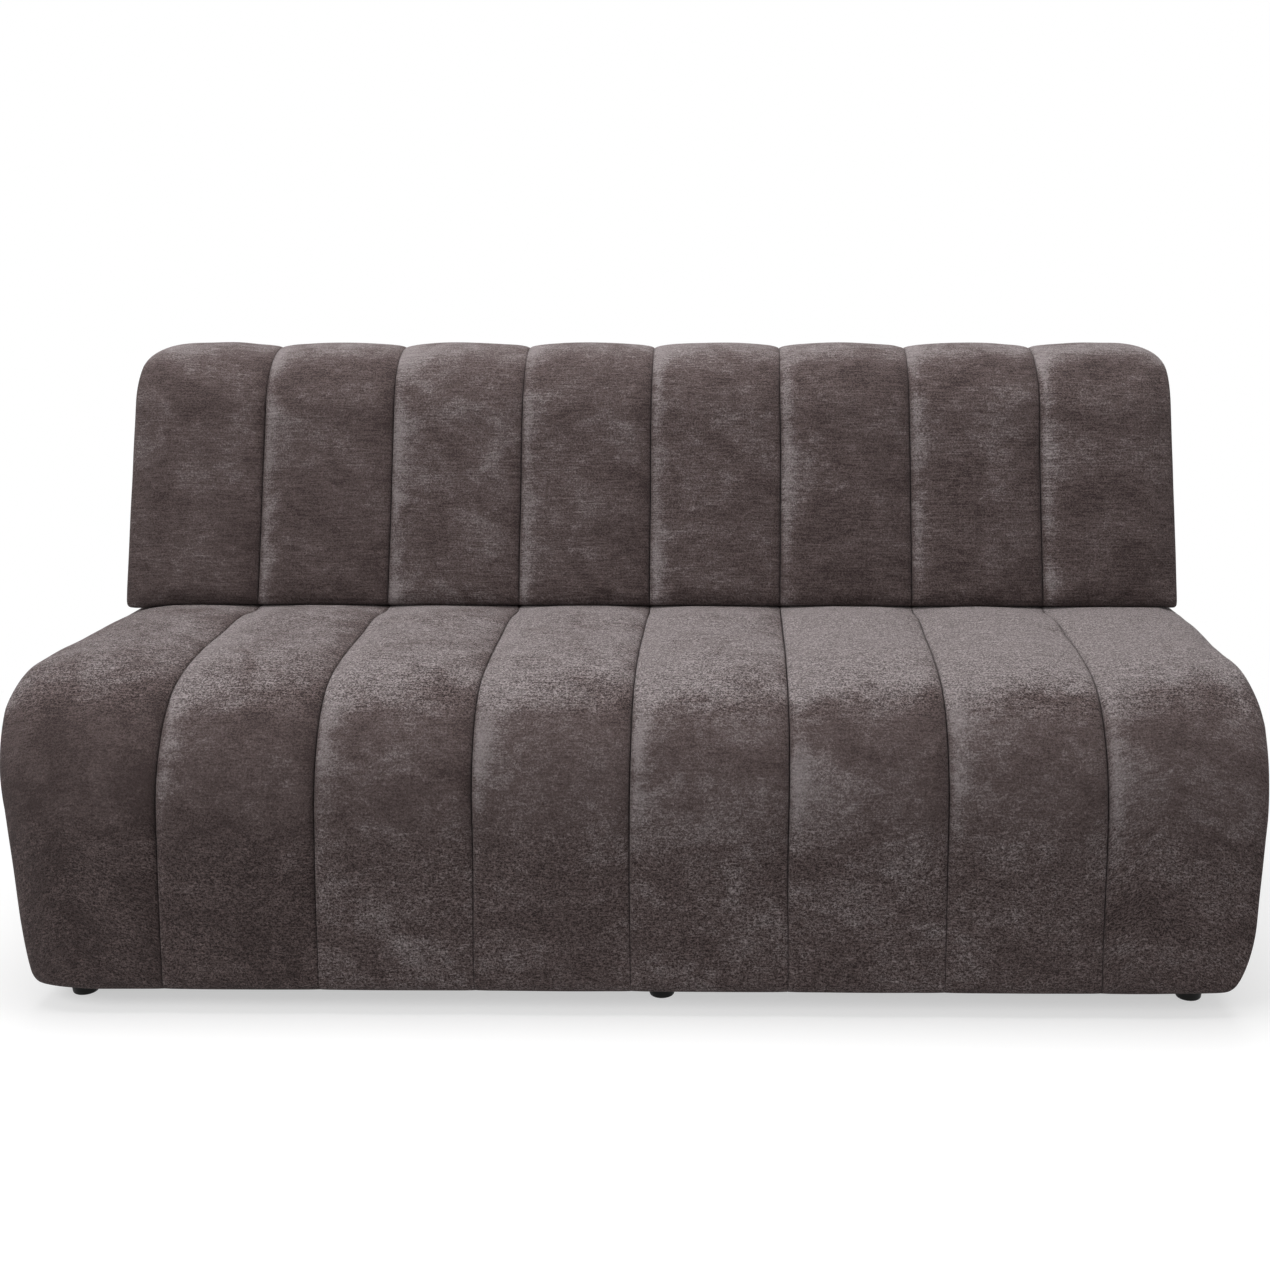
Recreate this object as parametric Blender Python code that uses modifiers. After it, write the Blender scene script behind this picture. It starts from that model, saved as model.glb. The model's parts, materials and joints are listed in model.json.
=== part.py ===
"""An armless dining sofa with a channelled seat and back, built as separate named pieces.

Metres, +Z up. The sofa faces -Y and its width runs along X. The origin is on the floor,
under the middle of the sofa's box. The pieces are drawn with y measured from the front of
the seat, and one empty carries them back by half the depth.
"""
import math

import bmesh
import bpy

# Overall form
CHANNEL_COUNT = 8
CHANNEL_PITCH = 0.2225  # seam to seam
END_SWELL = 0.0115  # how far the end channels of the seat swell past their pitch
SEAT_HEIGHT = 0.495  # floor to the crowns of the seat
SEAT_DEPTH = 0.516  # front of the seat to the crowns of the back, at seat height
BACK_RISE = 0.432  # crowns of the seat to the top of the back
BACK_RAKE = math.radians(15.0)  # lean of the back from upright
CLEARANCE = 0.0004  # between pieces that touch

# Channels of the seat and back
CHANNEL_PADDING = 0.042  # seams to the inner side of a channel
SEAM_GAP = 0.0006  # between neighbouring channels
SEAT_CROWN = 0.012  # swell of a channel over its seams, on the seat
PRESSED_CROWN = 0.004  # the same where the back stands on the seat
PRESS_START = 0.0045  # where the back starts to press the seat down, behind its front
PRESS_RAMP = 0.008  # how far behind that the seat is pressed down fully
ROLL_CROWN = 0.016  # the swell where the seat has rolled over to the front
HEM_CROWN = 0.003  # the same just above the hem
BACK_CROWN = 0.012  # the same on the face and top of the back
LIP_CROWN = 0.003  # the same on the lip behind the back
CROWN_POWER = 3.0  # how square a channel is across: 2 is an ellipse
HEM_RADIUS = 0.018  # where the front turns under
BACK_FOOT_RADIUS = 0.012  # where the back's face turns under
BACK_TOP_RADIUS = 0.128  # where the seams turn from the back's face to its top
BACK_LIP = 0.035  # how far the channels come down behind the back
SEAT_END_RADIUS = 0.095  # outer edges of the end channels, on the seat
FRONT_END_RADIUS = 0.052  # the same where the seat has rolled over to the front
BACK_END_RADIUS = 0.080  # the same on the back
SEAT_EDGE_DROP = 0.032  # how far down its padding an end channel's edge is round, on the seat
BACK_EDGE_DROP = 0.012  # the same on the back
SEAM_TUCK = 0.006  # how far an end channel's edge is drawn in at its lower seam

# Ends of the sofa
WIDEST_HEIGHT = 0.383  # where the seat's ends are widest
SIDE_TAPER = 0.030  # how far the ends draw in from there down to the hem
SIDE_TAPER_POWER = 1.6
HEM_CORNER_WIDTH = 0.038  # rounding of the lower corners
HEM_CORNER_HEIGHT = 0.062
TOP_CORNER_INSET = 0.029  # how far the back's ends draw in towards the top
TOP_CORNER_POWER = 3.7
TOP_CORNER_HEIGHT = 0.050
BACK_END_STEP = 0.006  # how far the back's ends lie inside the seat's
END_PAD_HEM = 0.007  # end pads at the hem, the thinnest place
END_PAD_STEP = 0.003  # how far an end pad lies inside the channel beside it
END_PAD_EDGE = 0.004  # its edge along the channel
END_PAD_CORNER = 0.016  # its upright corner behind
LEDGE_RISE = 0.001  # slope of the narrow ledges of the end pads

# Filling and covers
SEAT_FOAM = 0.090
SEAT_FOAM_RADIUS = 0.148  # front edge that the channels roll over
BACK_FOAM = 0.050
FACE_EDGE_RADIUS = 0.060  # front top edge of the back foam, under the channels
BACK_EDGE_RADIUS = 0.010  # rear top edge of the back, under the channels
SPRING_PAD = 0.005
OUTER_COVER = 0.008  # padded cloth behind the sofa
DUST_COVER = 0.0015

# Frame
PANEL = 0.018  # upright plywood ends and middle rib
BOARD = 0.009
RAIL_THICKNESS = 0.036
RAIL_HEIGHT = 0.070
RIB_DROP = 0.015  # top of the middle rib under the springs' rails
RIB_ASIDE = 0.006  # middle rib beside the heads of the centre post's screws
POST_WIDTH = 0.030
POST_DEPTH = 0.056
TOP_RAIL_HEIGHT = 0.045
LOWER_RAIL_HEIGHT = 0.060
LOWER_RAIL_DEPTH = 0.020  # how deep the lower rail is let into the posts
LOWER_RAIL_LIFT = 0.020  # over the crowns of the seat

# Springs
SPRING_COUNT = 8
SPRING_WIRE = 0.0038
SPRING_WIDTH = 0.050
SPRING_BARS = 17
SPRING_BEND = 0.007  # how far a bend runs out past the straight bars

# Feet and screws
FOOT_HEIGHT = 0.032
FOOT_RADIUS = 0.0215
FOOT_BASE_RADIUS = 0.0185
FOOT_EDGE = 0.004
FOOT_INSET = 0.016  # middle of an end foot inside the end of the frame
FOOT_SET_BACK = 0.006  # feet behind the middles of the rails
MIDDLE_FOOT_X = 0.040  # the middle feet stand beside the rib
STEM_RADIUS = 0.004
STEM_LENGTH = 0.028  # in the rail
SCREW_RADIUS = 0.004
SCREW_LENGTH = 0.070
SCREW_HEAD_RADIUS = 0.009
SCREW_HEAD_HEIGHT = 0.005
STEM_TO_SCREW = 0.012  # tip of a foot's stem to the screw over it

# Steps along and across the round shapes
ROLL_STEPS = 7
FACE_ARC_STEPS = 7
BACK_ARC_STEPS = 4
HEM_STEPS = 2
ACROSS_STEPS = 8
END_STEPS = 4
TURNED_STEPS = 20

# Heights, from the seat down
SEAM_HEIGHT = SEAT_HEIGHT - SEAT_CROWN
CHANNEL_UNDERSIDE = SEAM_HEIGHT - CHANNEL_PADDING
SEAT_FOAM_TOP = CHANNEL_UNDERSIDE - CLEARANCE
SEAT_FOAM_BOTTOM = SEAT_FOAM_TOP - SEAT_FOAM
PAD_TOP = SEAT_FOAM_BOTTOM - CLEARANCE
PAD_BOTTOM = PAD_TOP - SPRING_PAD
SPRING_HEIGHT = PAD_BOTTOM - CLEARANCE - SPRING_WIRE / 2
RAIL_TOP = SPRING_HEIGHT - SPRING_WIRE / 2 - CLEARANCE
FRAME_BOTTOM = FOOT_HEIGHT + DUST_COVER + CLEARANCE
BACK_BOTTOM = SEAM_HEIGHT + PRESSED_CROWN + CLEARANCE
TOP_SEAM_HEIGHT = SEAT_HEIGHT + BACK_RISE - BACK_CROWN

# Widths, from the middle out
HALF_WIDTH = CHANNEL_COUNT * CHANNEL_PITCH / 2 + END_SWELL
FRAME_END = HALF_WIDTH - SIDE_TAPER - HEM_CORNER_WIDTH - END_PAD_HEM

# Depths, from the front of the seat
ROLL_RADIUS = SEAT_FOAM_RADIUS + CLEARANCE + CHANNEL_PADDING
FRONT_SEAM = ROLL_CROWN
FRONT_INNER = FRONT_SEAM + CHANNEL_PADDING
ROLL_CENTRE_Y = FRONT_SEAM + ROLL_RADIUS
ROLL_CENTRE_Z = SEAM_HEIGHT - ROLL_RADIUS
BACK_SEAM = SEAT_DEPTH + BACK_CROWN
BACK_INNER = BACK_SEAM + CHANNEL_PADDING
BACK_FOAM_FRONT = BACK_INNER + CLEARANCE
BACK_FOAM_REAR = BACK_FOAM_FRONT + BACK_FOAM
FACE_BOARD_FRONT = BACK_FOAM_REAR + CLEARANCE
FACE_BOARD_REAR = FACE_BOARD_FRONT + BOARD
POST_FRONT = FACE_BOARD_REAR + CLEARANCE
POST_REAR = POST_FRONT + POST_DEPTH
COVER_INNER = POST_REAR + CLEARANCE
COVER_OUTER = COVER_INNER + OUTER_COVER
SEAT_END = POST_FRONT - CLEARANCE

# The channels' padding square to the raked face, and the arcs over the rear of the top
PADDING_SQUARE = CHANNEL_PADDING * math.cos(BACK_RAKE)
TOP_INNER = TOP_SEAM_HEIGHT - PADDING_SQUARE
INNER_ARC = BACK_EDGE_RADIUS + CLEARANCE
OUTER_ARC = INNER_ARC + PADDING_SQUARE


def lean(z):
    """How far the raked back has moved rearwards at a height."""
    return max(0.0, z - BACK_BOTTOM) * math.tan(BACK_RAKE)


def mix(start, end, share):
    return start + (end - start) * share


def direction(angle):
    """A unit vector in the YZ plane: 0 points to the front, a quarter turn points up."""
    return -math.cos(angle), math.sin(angle)


def along(centre, radius, angle):
    """The point on an arc in the YZ plane."""
    y, z = direction(angle)
    return centre[0] + radius * y, centre[1] + radius * z


def face_arc_centre(face, radius, z):
    """The centre, at height z, of an arc that touches the raked face standing at `face`."""
    touch = z + radius * math.sin(BACK_RAKE)
    return face + lean(touch) + radius * math.cos(BACK_RAKE), z


def edge_limit(depth):
    """The largest arc from the raked face to a level top that fits in a depth of top."""
    return depth * math.cos(BACK_RAKE) / (1 - math.sin(BACK_RAKE))


def rear_arc_centre(face, radius, z):
    """The same for the raked face behind, which the arc touches from the front."""
    touch = z - radius * math.sin(BACK_RAKE)
    return face + lean(touch) - radius * math.cos(BACK_RAKE), z


def roll_outline(radius):
    """The side outline of the seat at a radius: flat top, roll, and front down to the hem."""
    quarter = math.pi / 2
    centre = (ROLL_CENTRE_Y, ROLL_CENTRE_Z)
    angles = [quarter * (1 - step / ROLL_STEPS) for step in range(ROLL_STEPS + 1)]
    outline = [along(centre, radius, angle) for angle in angles]
    return outline + [(ROLL_CENTRE_Y - radius, FOOT_HEIGHT)]


def depth_at(outline, z):
    """Where an outline that only falls crosses a height."""
    for (y_high, z_high), (y_low, z_low) in zip(outline, outline[1:]):
        if z_low <= z <= z_high:
            return mix(y_high, y_low, (z_high - z) / (z_high - z_low))
    return outline[0][0]


def side_inset(z):
    """How far the seat's ends are drawn in at a height."""
    fall = max(0.0, WIDEST_HEIGHT - z) / (WIDEST_HEIGHT - FOOT_HEIGHT)
    corner = max(0.0, FOOT_HEIGHT + HEM_CORNER_HEIGHT - z) / HEM_CORNER_HEIGHT
    rounding = 1 - math.sqrt(max(0.0, 1 - corner ** 2))
    return SIDE_TAPER * fall ** SIDE_TAPER_POWER + HEM_CORNER_WIDTH * rounding


def top_inset(z):
    """How far the back's ends are drawn in at a height."""
    climb = max(0.0, z - (SEAT_HEIGHT + BACK_RISE - TOP_CORNER_HEIGHT)) / TOP_CORNER_HEIGHT
    return BACK_END_STEP + TOP_CORNER_INSET * climb ** TOP_CORNER_POWER


REAR_ARC_CENTRE = rear_arc_centre(COVER_OUTER, OUTER_ARC, TOP_SEAM_HEIGHT - OUTER_ARC)
TOP_DEPTH = REAR_ARC_CENTRE[0] - BACK_SEAM - lean(TOP_SEAM_HEIGHT)
FRONT_ARC = min(BACK_TOP_RADIUS, edge_limit(TOP_DEPTH))
FRONT_ARC_CENTRE = face_arc_centre(BACK_SEAM, FRONT_ARC, TOP_SEAM_HEIGHT - FRONT_ARC)
FOAM_ARC = min(FACE_EDGE_RADIUS, edge_limit(BACK_FOAM))
FACE_ARC = FOAM_ARC + CLEARANCE
FACE_ARC_CENTRE = face_arc_centre(BACK_INNER, FACE_ARC, TOP_INNER - FACE_ARC)
REAR_INNER_CENTRE = rear_arc_centre(COVER_INNER, INNER_ARC, TOP_INNER - INNER_ARC)
LIP_END = along(REAR_ARC_CENTRE, OUTER_ARC, math.pi + BACK_RAKE)[1] - BACK_LIP
SEAT_INNER_OUTLINE = roll_outline(SEAT_FOAM_RADIUS)
RAIL_FRONT = max(FRONT_INNER + BOARD + 2 * CLEARANCE, depth_at(SEAT_INNER_OUTLINE, RAIL_TOP))
RAIL_BACK = RAIL_FRONT + RAIL_THICKNESS
REAR_RAIL_BACK = POST_FRONT - CLEARANCE
REAR_RAIL_FRONT = REAR_RAIL_BACK - RAIL_THICKNESS

# Scene, collections and the empty that carries the pieces
for leftover in list(bpy.data.objects):
    bpy.data.objects.remove(leftover)
PARTS = bpy.data.collections.new("dining_sofa")
CUTTERS = bpy.data.collections.new("cutters")
bpy.context.scene.collection.children.link(PARTS)
bpy.context.scene.collection.children.link(CUTTERS)
CARRIER = bpy.data.objects.new("sofa_carrier", None)
PARTS.objects.link(CARRIER)


def material(name, colour, roughness, metallic=0.0):
    made = bpy.data.materials.new(name)
    made.use_nodes = True
    shader = made.node_tree.nodes["Principled BSDF"]
    shader.inputs["Base Color"].default_value = (*colour, 1.0)
    shader.inputs["Roughness"].default_value = roughness
    shader.inputs["Metallic"].default_value = metallic
    return made


CHENILLE = material("chenille", (0.085, 0.068, 0.066), 0.95)
FOAM = material("foam", (0.75, 0.70, 0.52), 0.95)
FELT = material("felt", (0.30, 0.30, 0.31), 1.0)
NONWOVEN = material("nonwoven", (0.015, 0.015, 0.016), 0.95)
PLYWOOD = material("plywood", (0.52, 0.36, 0.20), 0.70)
TIMBER = material("timber", (0.60, 0.43, 0.25), 0.65)
STEEL = material("steel", (0.45, 0.45, 0.46), 0.35, 1.0)
PLASTIC = material("black_plastic", (0.007, 0.006, 0.006), 0.45)


# Makers of shapes
def add_piece(name, mesh, finish, location=(0.0, 0.0, 0.0)):
    if not mesh.materials:
        mesh.materials.append(finish)
    piece = bpy.data.objects.new(name, mesh)
    piece.location = location
    piece.parent = CARRIER
    PARTS.objects.link(piece)
    return piece


def finished_mesh(name, shape):
    bmesh.ops.recalc_face_normals(shape, faces=shape.faces)
    mesh = bpy.data.meshes.new(name)
    shape.to_mesh(mesh)
    shape.free()
    return mesh


def shade_round(mesh):
    mesh.shade_smooth()
    mesh.set_sharp_from_angle(angle=math.radians(45))


def box(name, x, y, z, finish):
    """A rectangular piece, from its low and high ends along each axis."""
    shape = bmesh.new()
    bmesh.ops.create_cube(shape, size=1)
    ends = (x, y, z)
    bmesh.ops.scale(shape, vec=[high - low for low, high in ends], verts=shape.verts)
    middle = [(low + high) / 2 for low, high in ends]
    return add_piece(name, finished_mesh(name, shape), finish, middle)


def plate(name, outline, x, finish):
    """A piece of even section along X, from a closed outline of (y, z) points."""
    curve = bpy.data.curves.new(name, "CURVE")
    curve.dimensions = "2D"
    curve.fill_mode = "BOTH"
    curve.extrude = (x[1] - x[0]) / 2
    spline = curve.splines.new("POLY")
    spline.points.add(len(outline) - 1)
    for point, (y, z) in zip(spline.points, outline):
        point.co = (y, z, 0.0, 1.0)
    spline.use_cyclic_u = True
    drawn = bpy.data.objects.new(name + "_outline", curve)
    CUTTERS.objects.link(drawn)
    graph = bpy.context.evaluated_depsgraph_get()
    mesh = bpy.data.meshes.new_from_object(drawn.evaluated_get(graph))
    bpy.data.objects.remove(drawn)
    shape = bmesh.new()
    shape.from_mesh(mesh)
    bmesh.ops.remove_doubles(shape, verts=shape.verts, dist=0.00001)
    shape.to_mesh(mesh)
    shape.free()
    piece = add_piece(name, mesh, finish, ((x[0] + x[1]) / 2, 0.0, 0.0))
    piece.rotation_euler = (math.pi / 2, 0.0, math.pi / 2)
    return piece


def loft(name, rings, finish):
    """A closed form through rings of points, all with the same number of points."""
    shape = bmesh.new()
    loops = [[shape.verts.new(point) for point in ring] for ring in rings]
    for near, far in zip(loops, loops[1:]):
        for here in range(len(near)):
            there = (here + 1) % len(near)
            shape.faces.new((near[here], near[there], far[there], far[here]))
    shape.faces.new(loops[0])
    shape.faces.new(loops[-1])
    mesh = finished_mesh(name, shape)
    shade_round(mesh)
    return add_piece(name, mesh, finish)


def profile_mesh(name, profile, finish):
    """An open profile of (radius, height) points that run from the top down."""
    shape = bmesh.new()
    points = [shape.verts.new((radius, 0.0, height)) for radius, height in profile]
    for upper, lower in zip(points, points[1:]):
        shape.edges.new((upper, lower))
    mesh = bpy.data.meshes.new(name)
    shape.to_mesh(mesh)
    shape.free()
    mesh.materials.append(finish)
    return mesh


def turned(name, profile, finish, location):
    """A piece turned about its own Z axis from a profile."""
    piece = add_piece(name, profile, finish, location)
    turn = piece.modifiers.new("turn", "SCREW")
    turn.steps = TURNED_STEPS
    turn.render_steps = TURNED_STEPS
    turn.use_merge_vertices = True
    turn.merge_threshold = 0.00001
    return piece


def drill(piece, name, radius, start, length, along_y=False):
    """Cut a round hole into a piece, from a start point up or along Y."""
    shape = bmesh.new()
    bmesh.ops.create_cone(
        shape,
        cap_ends=True,
        segments=TURNED_STEPS,
        radius1=radius,
        radius2=radius,
        depth=length,
    )
    bmesh.ops.translate(shape, vec=(0.0, 0.0, length / 2), verts=shape.verts)
    cutter = bpy.data.objects.new(name, finished_mesh(name, shape))
    cutter.location = start
    cutter.rotation_euler.x = -math.pi / 2 if along_y else 0.0
    cutter.parent = CARRIER
    cutter.hide_render = True
    cutter.display_type = "WIRE"
    CUTTERS.objects.link(cutter)
    cut = piece.modifiers.new(name, "BOOLEAN")
    cut.operation = "DIFFERENCE"
    cut.object = cutter


# Channels: a station is (seam point, outward direction, crown, inner point, end radius, half width,
# edge drop)
def seat_stations():
    """From the rear end of the seat, over the roll and down to the hem."""
    stations = []
    up = direction(math.pi / 2)
    press_start = SEAT_DEPTH + PRESS_START
    pressed = ((SEAT_END, PRESSED_CROWN), (press_start + PRESS_RAMP, PRESSED_CROWN), (press_start, SEAT_CROWN))
    for y, crown in pressed:
        stations.append(((y, SEAM_HEIGHT), up, crown, (y, CHANNEL_UNDERSIDE), SEAT_END_RADIUS))
    centre = (ROLL_CENTRE_Y, ROLL_CENTRE_Z)
    for step in range(ROLL_STEPS + 1):
        share = step / ROLL_STEPS
        angle = math.pi / 2 * (1 - share)
        seam = along(centre, ROLL_RADIUS, angle)
        inner = along(centre, ROLL_RADIUS - CHANNEL_PADDING, angle)
        end_radius = mix(SEAT_END_RADIUS, FRONT_END_RADIUS, share)
        crown = mix(SEAT_CROWN, ROLL_CROWN, share)
        stations.append((seam, direction(angle), crown, inner, end_radius))
    hem_top = FOOT_HEIGHT + HEM_RADIUS
    corner_top = FOOT_HEIGHT + HEM_CORNER_HEIGHT
    for z in (mix(ROLL_CENTRE_Z, corner_top, 0.5), corner_top, mix(corner_top, hem_top, 0.5)):
        crown = mix(ROLL_CROWN, HEM_CROWN, (ROLL_CENTRE_Z - z) / (ROLL_CENTRE_Z - hem_top))
        stations.append(((FRONT_SEAM, z), direction(0.0), crown, (FRONT_INNER, z), FRONT_END_RADIUS))
    centre = (FRONT_SEAM + HEM_RADIUS, hem_top)
    for step in range(HEM_STEPS + 1):
        share = step / HEM_STEPS
        angle = -math.pi / 2 * share
        inner = (FRONT_INNER, mix(hem_top, FOOT_HEIGHT, share))
        seam = along(centre, HEM_RADIUS, angle)
        stations.append((seam, direction(angle), HEM_CROWN * (1 - share), inner, FRONT_END_RADIUS))
    return [(*station, HALF_WIDTH - side_inset(station[0][1]), SEAT_EDGE_DROP) for station in stations]


def back_stations():
    """From under the back's face, up the face, over the top and down the lip behind."""
    stations = []
    upright = BACK_RAKE
    foot = face_arc_centre(BACK_SEAM, BACK_FOOT_RADIUS, BACK_BOTTOM + BACK_FOOT_RADIUS)
    face_start = along(foot, BACK_FOOT_RADIUS, upright)[1]
    for step in range(BACK_ARC_STEPS + 1):
        share = step / BACK_ARC_STEPS
        angle = mix(-math.pi / 2, upright, share)
        z = mix(BACK_BOTTOM, face_start, share)
        seam = along(foot, BACK_FOOT_RADIUS, angle)
        crown = BACK_CROWN * share ** 2
        stations.append((seam, direction(angle), crown, (BACK_INNER + lean(z), z)))
    face_end = along(FRONT_ARC_CENTRE, FRONT_ARC, upright)[1]
    z = mix(face_start, face_end, 0.5)
    seam = (BACK_SEAM + lean(z), z)
    inner = along(seam, -PADDING_SQUARE, upright)
    stations.append((seam, direction(upright), BACK_CROWN, inner))
    for step in range(FACE_ARC_STEPS + 1):
        angle = mix(upright, math.pi / 2, step / FACE_ARC_STEPS)
        seam = along(FRONT_ARC_CENTRE, FRONT_ARC, angle)
        inner = along(FACE_ARC_CENTRE, FACE_ARC, angle)
        stations.append((seam, direction(angle), BACK_CROWN, inner))
    for step in range(BACK_ARC_STEPS + 1):
        share = step / BACK_ARC_STEPS
        angle = mix(math.pi / 2, math.pi + upright, share)
        seam = along(REAR_ARC_CENTRE, OUTER_ARC, angle)
        inner = along(REAR_INNER_CENTRE, INNER_ARC, angle)
        stations.append((seam, direction(angle), mix(BACK_CROWN, LIP_CROWN, share), inner))
    seam = (COVER_OUTER + lean(LIP_END), LIP_END)
    inner = (COVER_INNER + lean(LIP_END), LIP_END)
    stations.append((seam, direction(math.pi), LIP_CROWN, inner))
    ends = [(BACK_END_RADIUS, HALF_WIDTH - top_inset(seam[1]), BACK_EDGE_DROP) for seam, *_ in stations]
    return [(*station, *end) for station, end in zip(stations, ends)]


def across_channel(index, crown, end_radius, half_width, edge_drop):
    """The (x, swell) points across a channel, from seam to seam, then its inner corners."""
    low = (index - CHANNEL_COUNT / 2) * CHANNEL_PITCH + SEAM_GAP / 2
    high = low + CHANNEL_PITCH - SEAM_GAP
    half = (high - low) / 2
    points = []
    at_end = index == CHANNEL_COUNT - 1
    steps = ACROSS_STEPS // 2 if at_end else ACROSS_STEPS
    for step in range(steps + 1):
        place = -math.cos(math.pi * step / ACROSS_STEPS)
        swell = max(0.0, 1 - abs(place) ** CROWN_POWER) ** (1 / CROWN_POWER)
        points.append((low + half * (1 + place), crown * swell))
    if not at_end:
        return points + [(high, -CHANNEL_PADDING), (low, -CHANNEL_PADDING)]
    for step in range(END_STEPS + 1):
        angle = math.pi / 2 * step / END_STEPS
        x = half_width - end_radius * (1 - math.sin(angle))
        points.append((x, crown - (crown + edge_drop) * (1 - math.cos(angle))))
    return points + [(half_width - SEAM_TUCK, -CHANNEL_PADDING), (low, -CHANNEL_PADDING)]


def channel_ring(station, index):
    """One section of a channel. The first channel mirrors the last."""
    seam, outward, crown, inner, end_radius, half_width, edge_drop = station
    mirrored = index == 0
    drawn = CHANNEL_COUNT - 1 if mirrored else index
    ring = []
    for x, swell in across_channel(drawn, crown, end_radius, half_width, edge_drop):
        raised = max(swell, 0.0)
        sunk = max(-swell, 0.0) / CHANNEL_PADDING
        y = mix(seam[0], inner[0], sunk) + outward[0] * raised
        z = mix(seam[1], inner[1], sunk) + outward[1] * raised
        ring.append((-x if mirrored else x, y, z))
    return ring


def make_channels(prefix, stations):
    for index in range(CHANNEL_COUNT):
        rings = [channel_ring(station, index) for station in stations]
        loft(f"{prefix}_channel_{index + 1}", rings, CHENILLE)


# End pads: a level is (height, front, rear, half width)
def end_pad(name, side, levels):
    rings = []
    for z, front, rear, half_width in levels:
        inner = FRAME_END + CLEARANCE
        outer = half_width - END_PAD_STEP
        edge = min(END_PAD_EDGE, (outer - inner) / 2)
        corner = min(END_PAD_CORNER, (outer - inner) / 2)
        section = [
            (inner, front),
            (outer - edge, front),
            (outer, front + edge),
            (outer, rear - corner),
            (mix(outer - corner, outer, math.sqrt(0.5)), mix(rear - corner, rear, math.sqrt(0.5))),
            (outer - corner, rear),
            (inner, rear),
        ]
        rings.append([(side * x, y, z) for x, y in section])
    loft(name, rings, CHENILLE)


def seat_pad_levels():
    heights = [FOOT_HEIGHT + HEM_CORNER_HEIGHT * (step / 4) ** 2 for step in range(5)]
    heights.append(mix(heights[-1], ROLL_CENTRE_Z, 0.5))
    levels = [(z, FRONT_INNER + CLEARANCE) for z in heights]
    levels += [(z, y) for y, z in reversed(SEAT_INNER_OUTLINE[:-1])]
    return [(z, front, COVER_OUTER, HALF_WIDTH - side_inset(z)) for z, front in levels]


def back_pad_levels():
    base = HALF_WIDTH - BACK_END_STEP
    levels = [(SEAT_FOAM_TOP + CLEARANCE, POST_FRONT, COVER_OUTER, base)]
    levels.append((BACK_BOTTOM, POST_FRONT, COVER_OUTER, base))
    front_face = BACK_INNER + CLEARANCE
    under_lip = LIP_END - CLEARANCE
    for z in (BACK_BOTTOM + LEDGE_RISE, under_lip - LEDGE_RISE):
        levels.append((z, front_face + lean(z), COVER_OUTER + lean(z), HALF_WIDTH - top_inset(z)))
    z = under_lip
    levels.append((z, front_face + lean(z), POST_REAR + lean(z), HALF_WIDTH - top_inset(z)))
    behind_y, behind_z = REAR_INNER_CENTRE
    for step in range(FACE_ARC_STEPS + 1):
        angle = mix(BACK_RAKE, math.pi / 2, step / FACE_ARC_STEPS)
        front, z = along(FACE_ARC_CENTRE, FOAM_ARC, angle)
        rise = max(0.0, (z - behind_z) / BACK_EDGE_RADIUS)
        rear = behind_y + BACK_EDGE_RADIUS * math.sqrt(max(0.0, 1 - rise ** 2))
        levels.append((z, front, min(rear, POST_REAR + lean(z)), HALF_WIDTH - top_inset(z)))
    return levels


# Filling
def make_seat_foam():
    outline = [(depth_at(SEAT_INNER_OUTLINE, SEAT_FOAM_BOTTOM), SEAT_FOAM_BOTTOM)]
    outline += [(y, z) for y, z in reversed(SEAT_INNER_OUTLINE) if z > SEAT_FOAM_BOTTOM]
    outline += [(SEAT_END, SEAT_FOAM_TOP), (SEAT_END, SEAT_FOAM_BOTTOM)]
    plate("seat_foam", outline, (-FRAME_END, FRAME_END), FOAM)


def make_back_foam():
    top = TOP_INNER - CLEARANCE
    outline = [(BACK_FOAM_FRONT + lean(BACK_BOTTOM), BACK_BOTTOM)]
    for step in range(FACE_ARC_STEPS + 1):
        angle = mix(BACK_RAKE, math.pi / 2, step / FACE_ARC_STEPS)
        outline.append(along(FACE_ARC_CENTRE, FOAM_ARC, angle))
    outline.append((BACK_FOAM_REAR + lean(top), top))
    outline.append((BACK_FOAM_REAR + lean(BACK_BOTTOM), BACK_BOTTOM))
    plate("back_foam", outline, (-FRAME_END, FRAME_END), FOAM)


def make_spring_pad():
    front = depth_at(SEAT_INNER_OUTLINE, PAD_TOP)
    box("spring_pad", (-FRAME_END, FRAME_END), (front, SEAT_END), (PAD_BOTTOM, PAD_TOP), FELT)


# Covers
def raked_outline(front, rear, low, high):
    corners = ((front, low), (rear, low), (rear, high), (front, high))
    return [(y + lean(z), z) for y, z in corners]


def make_outer_covers():
    width = (-FRAME_END, FRAME_END)
    outline = raked_outline(COVER_INNER, COVER_OUTER, BACK_BOTTOM, LIP_END - CLEARANCE)
    plate("outside_back_cover", outline, width, CHENILLE)
    height = (FOOT_HEIGHT, BACK_BOTTOM - CLEARANCE)
    box("base_rear_cover", width, (COVER_INNER, COVER_OUTER), height, CHENILLE)


def make_dust_cover():
    depth = (FRONT_INNER + CLEARANCE, POST_REAR)
    height = (FOOT_HEIGHT, FOOT_HEIGHT + DUST_COVER)
    cover = box("dust_cover", (-FRAME_END, FRAME_END), depth, height, NONWOVEN)
    for name, x, y in foot_places():
        start = (x, y, FOOT_HEIGHT - CLEARANCE)
        drill(cover, name + "_cover_hole", STEM_RADIUS + CLEARANCE, start, 2 * DUST_COVER)


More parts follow.
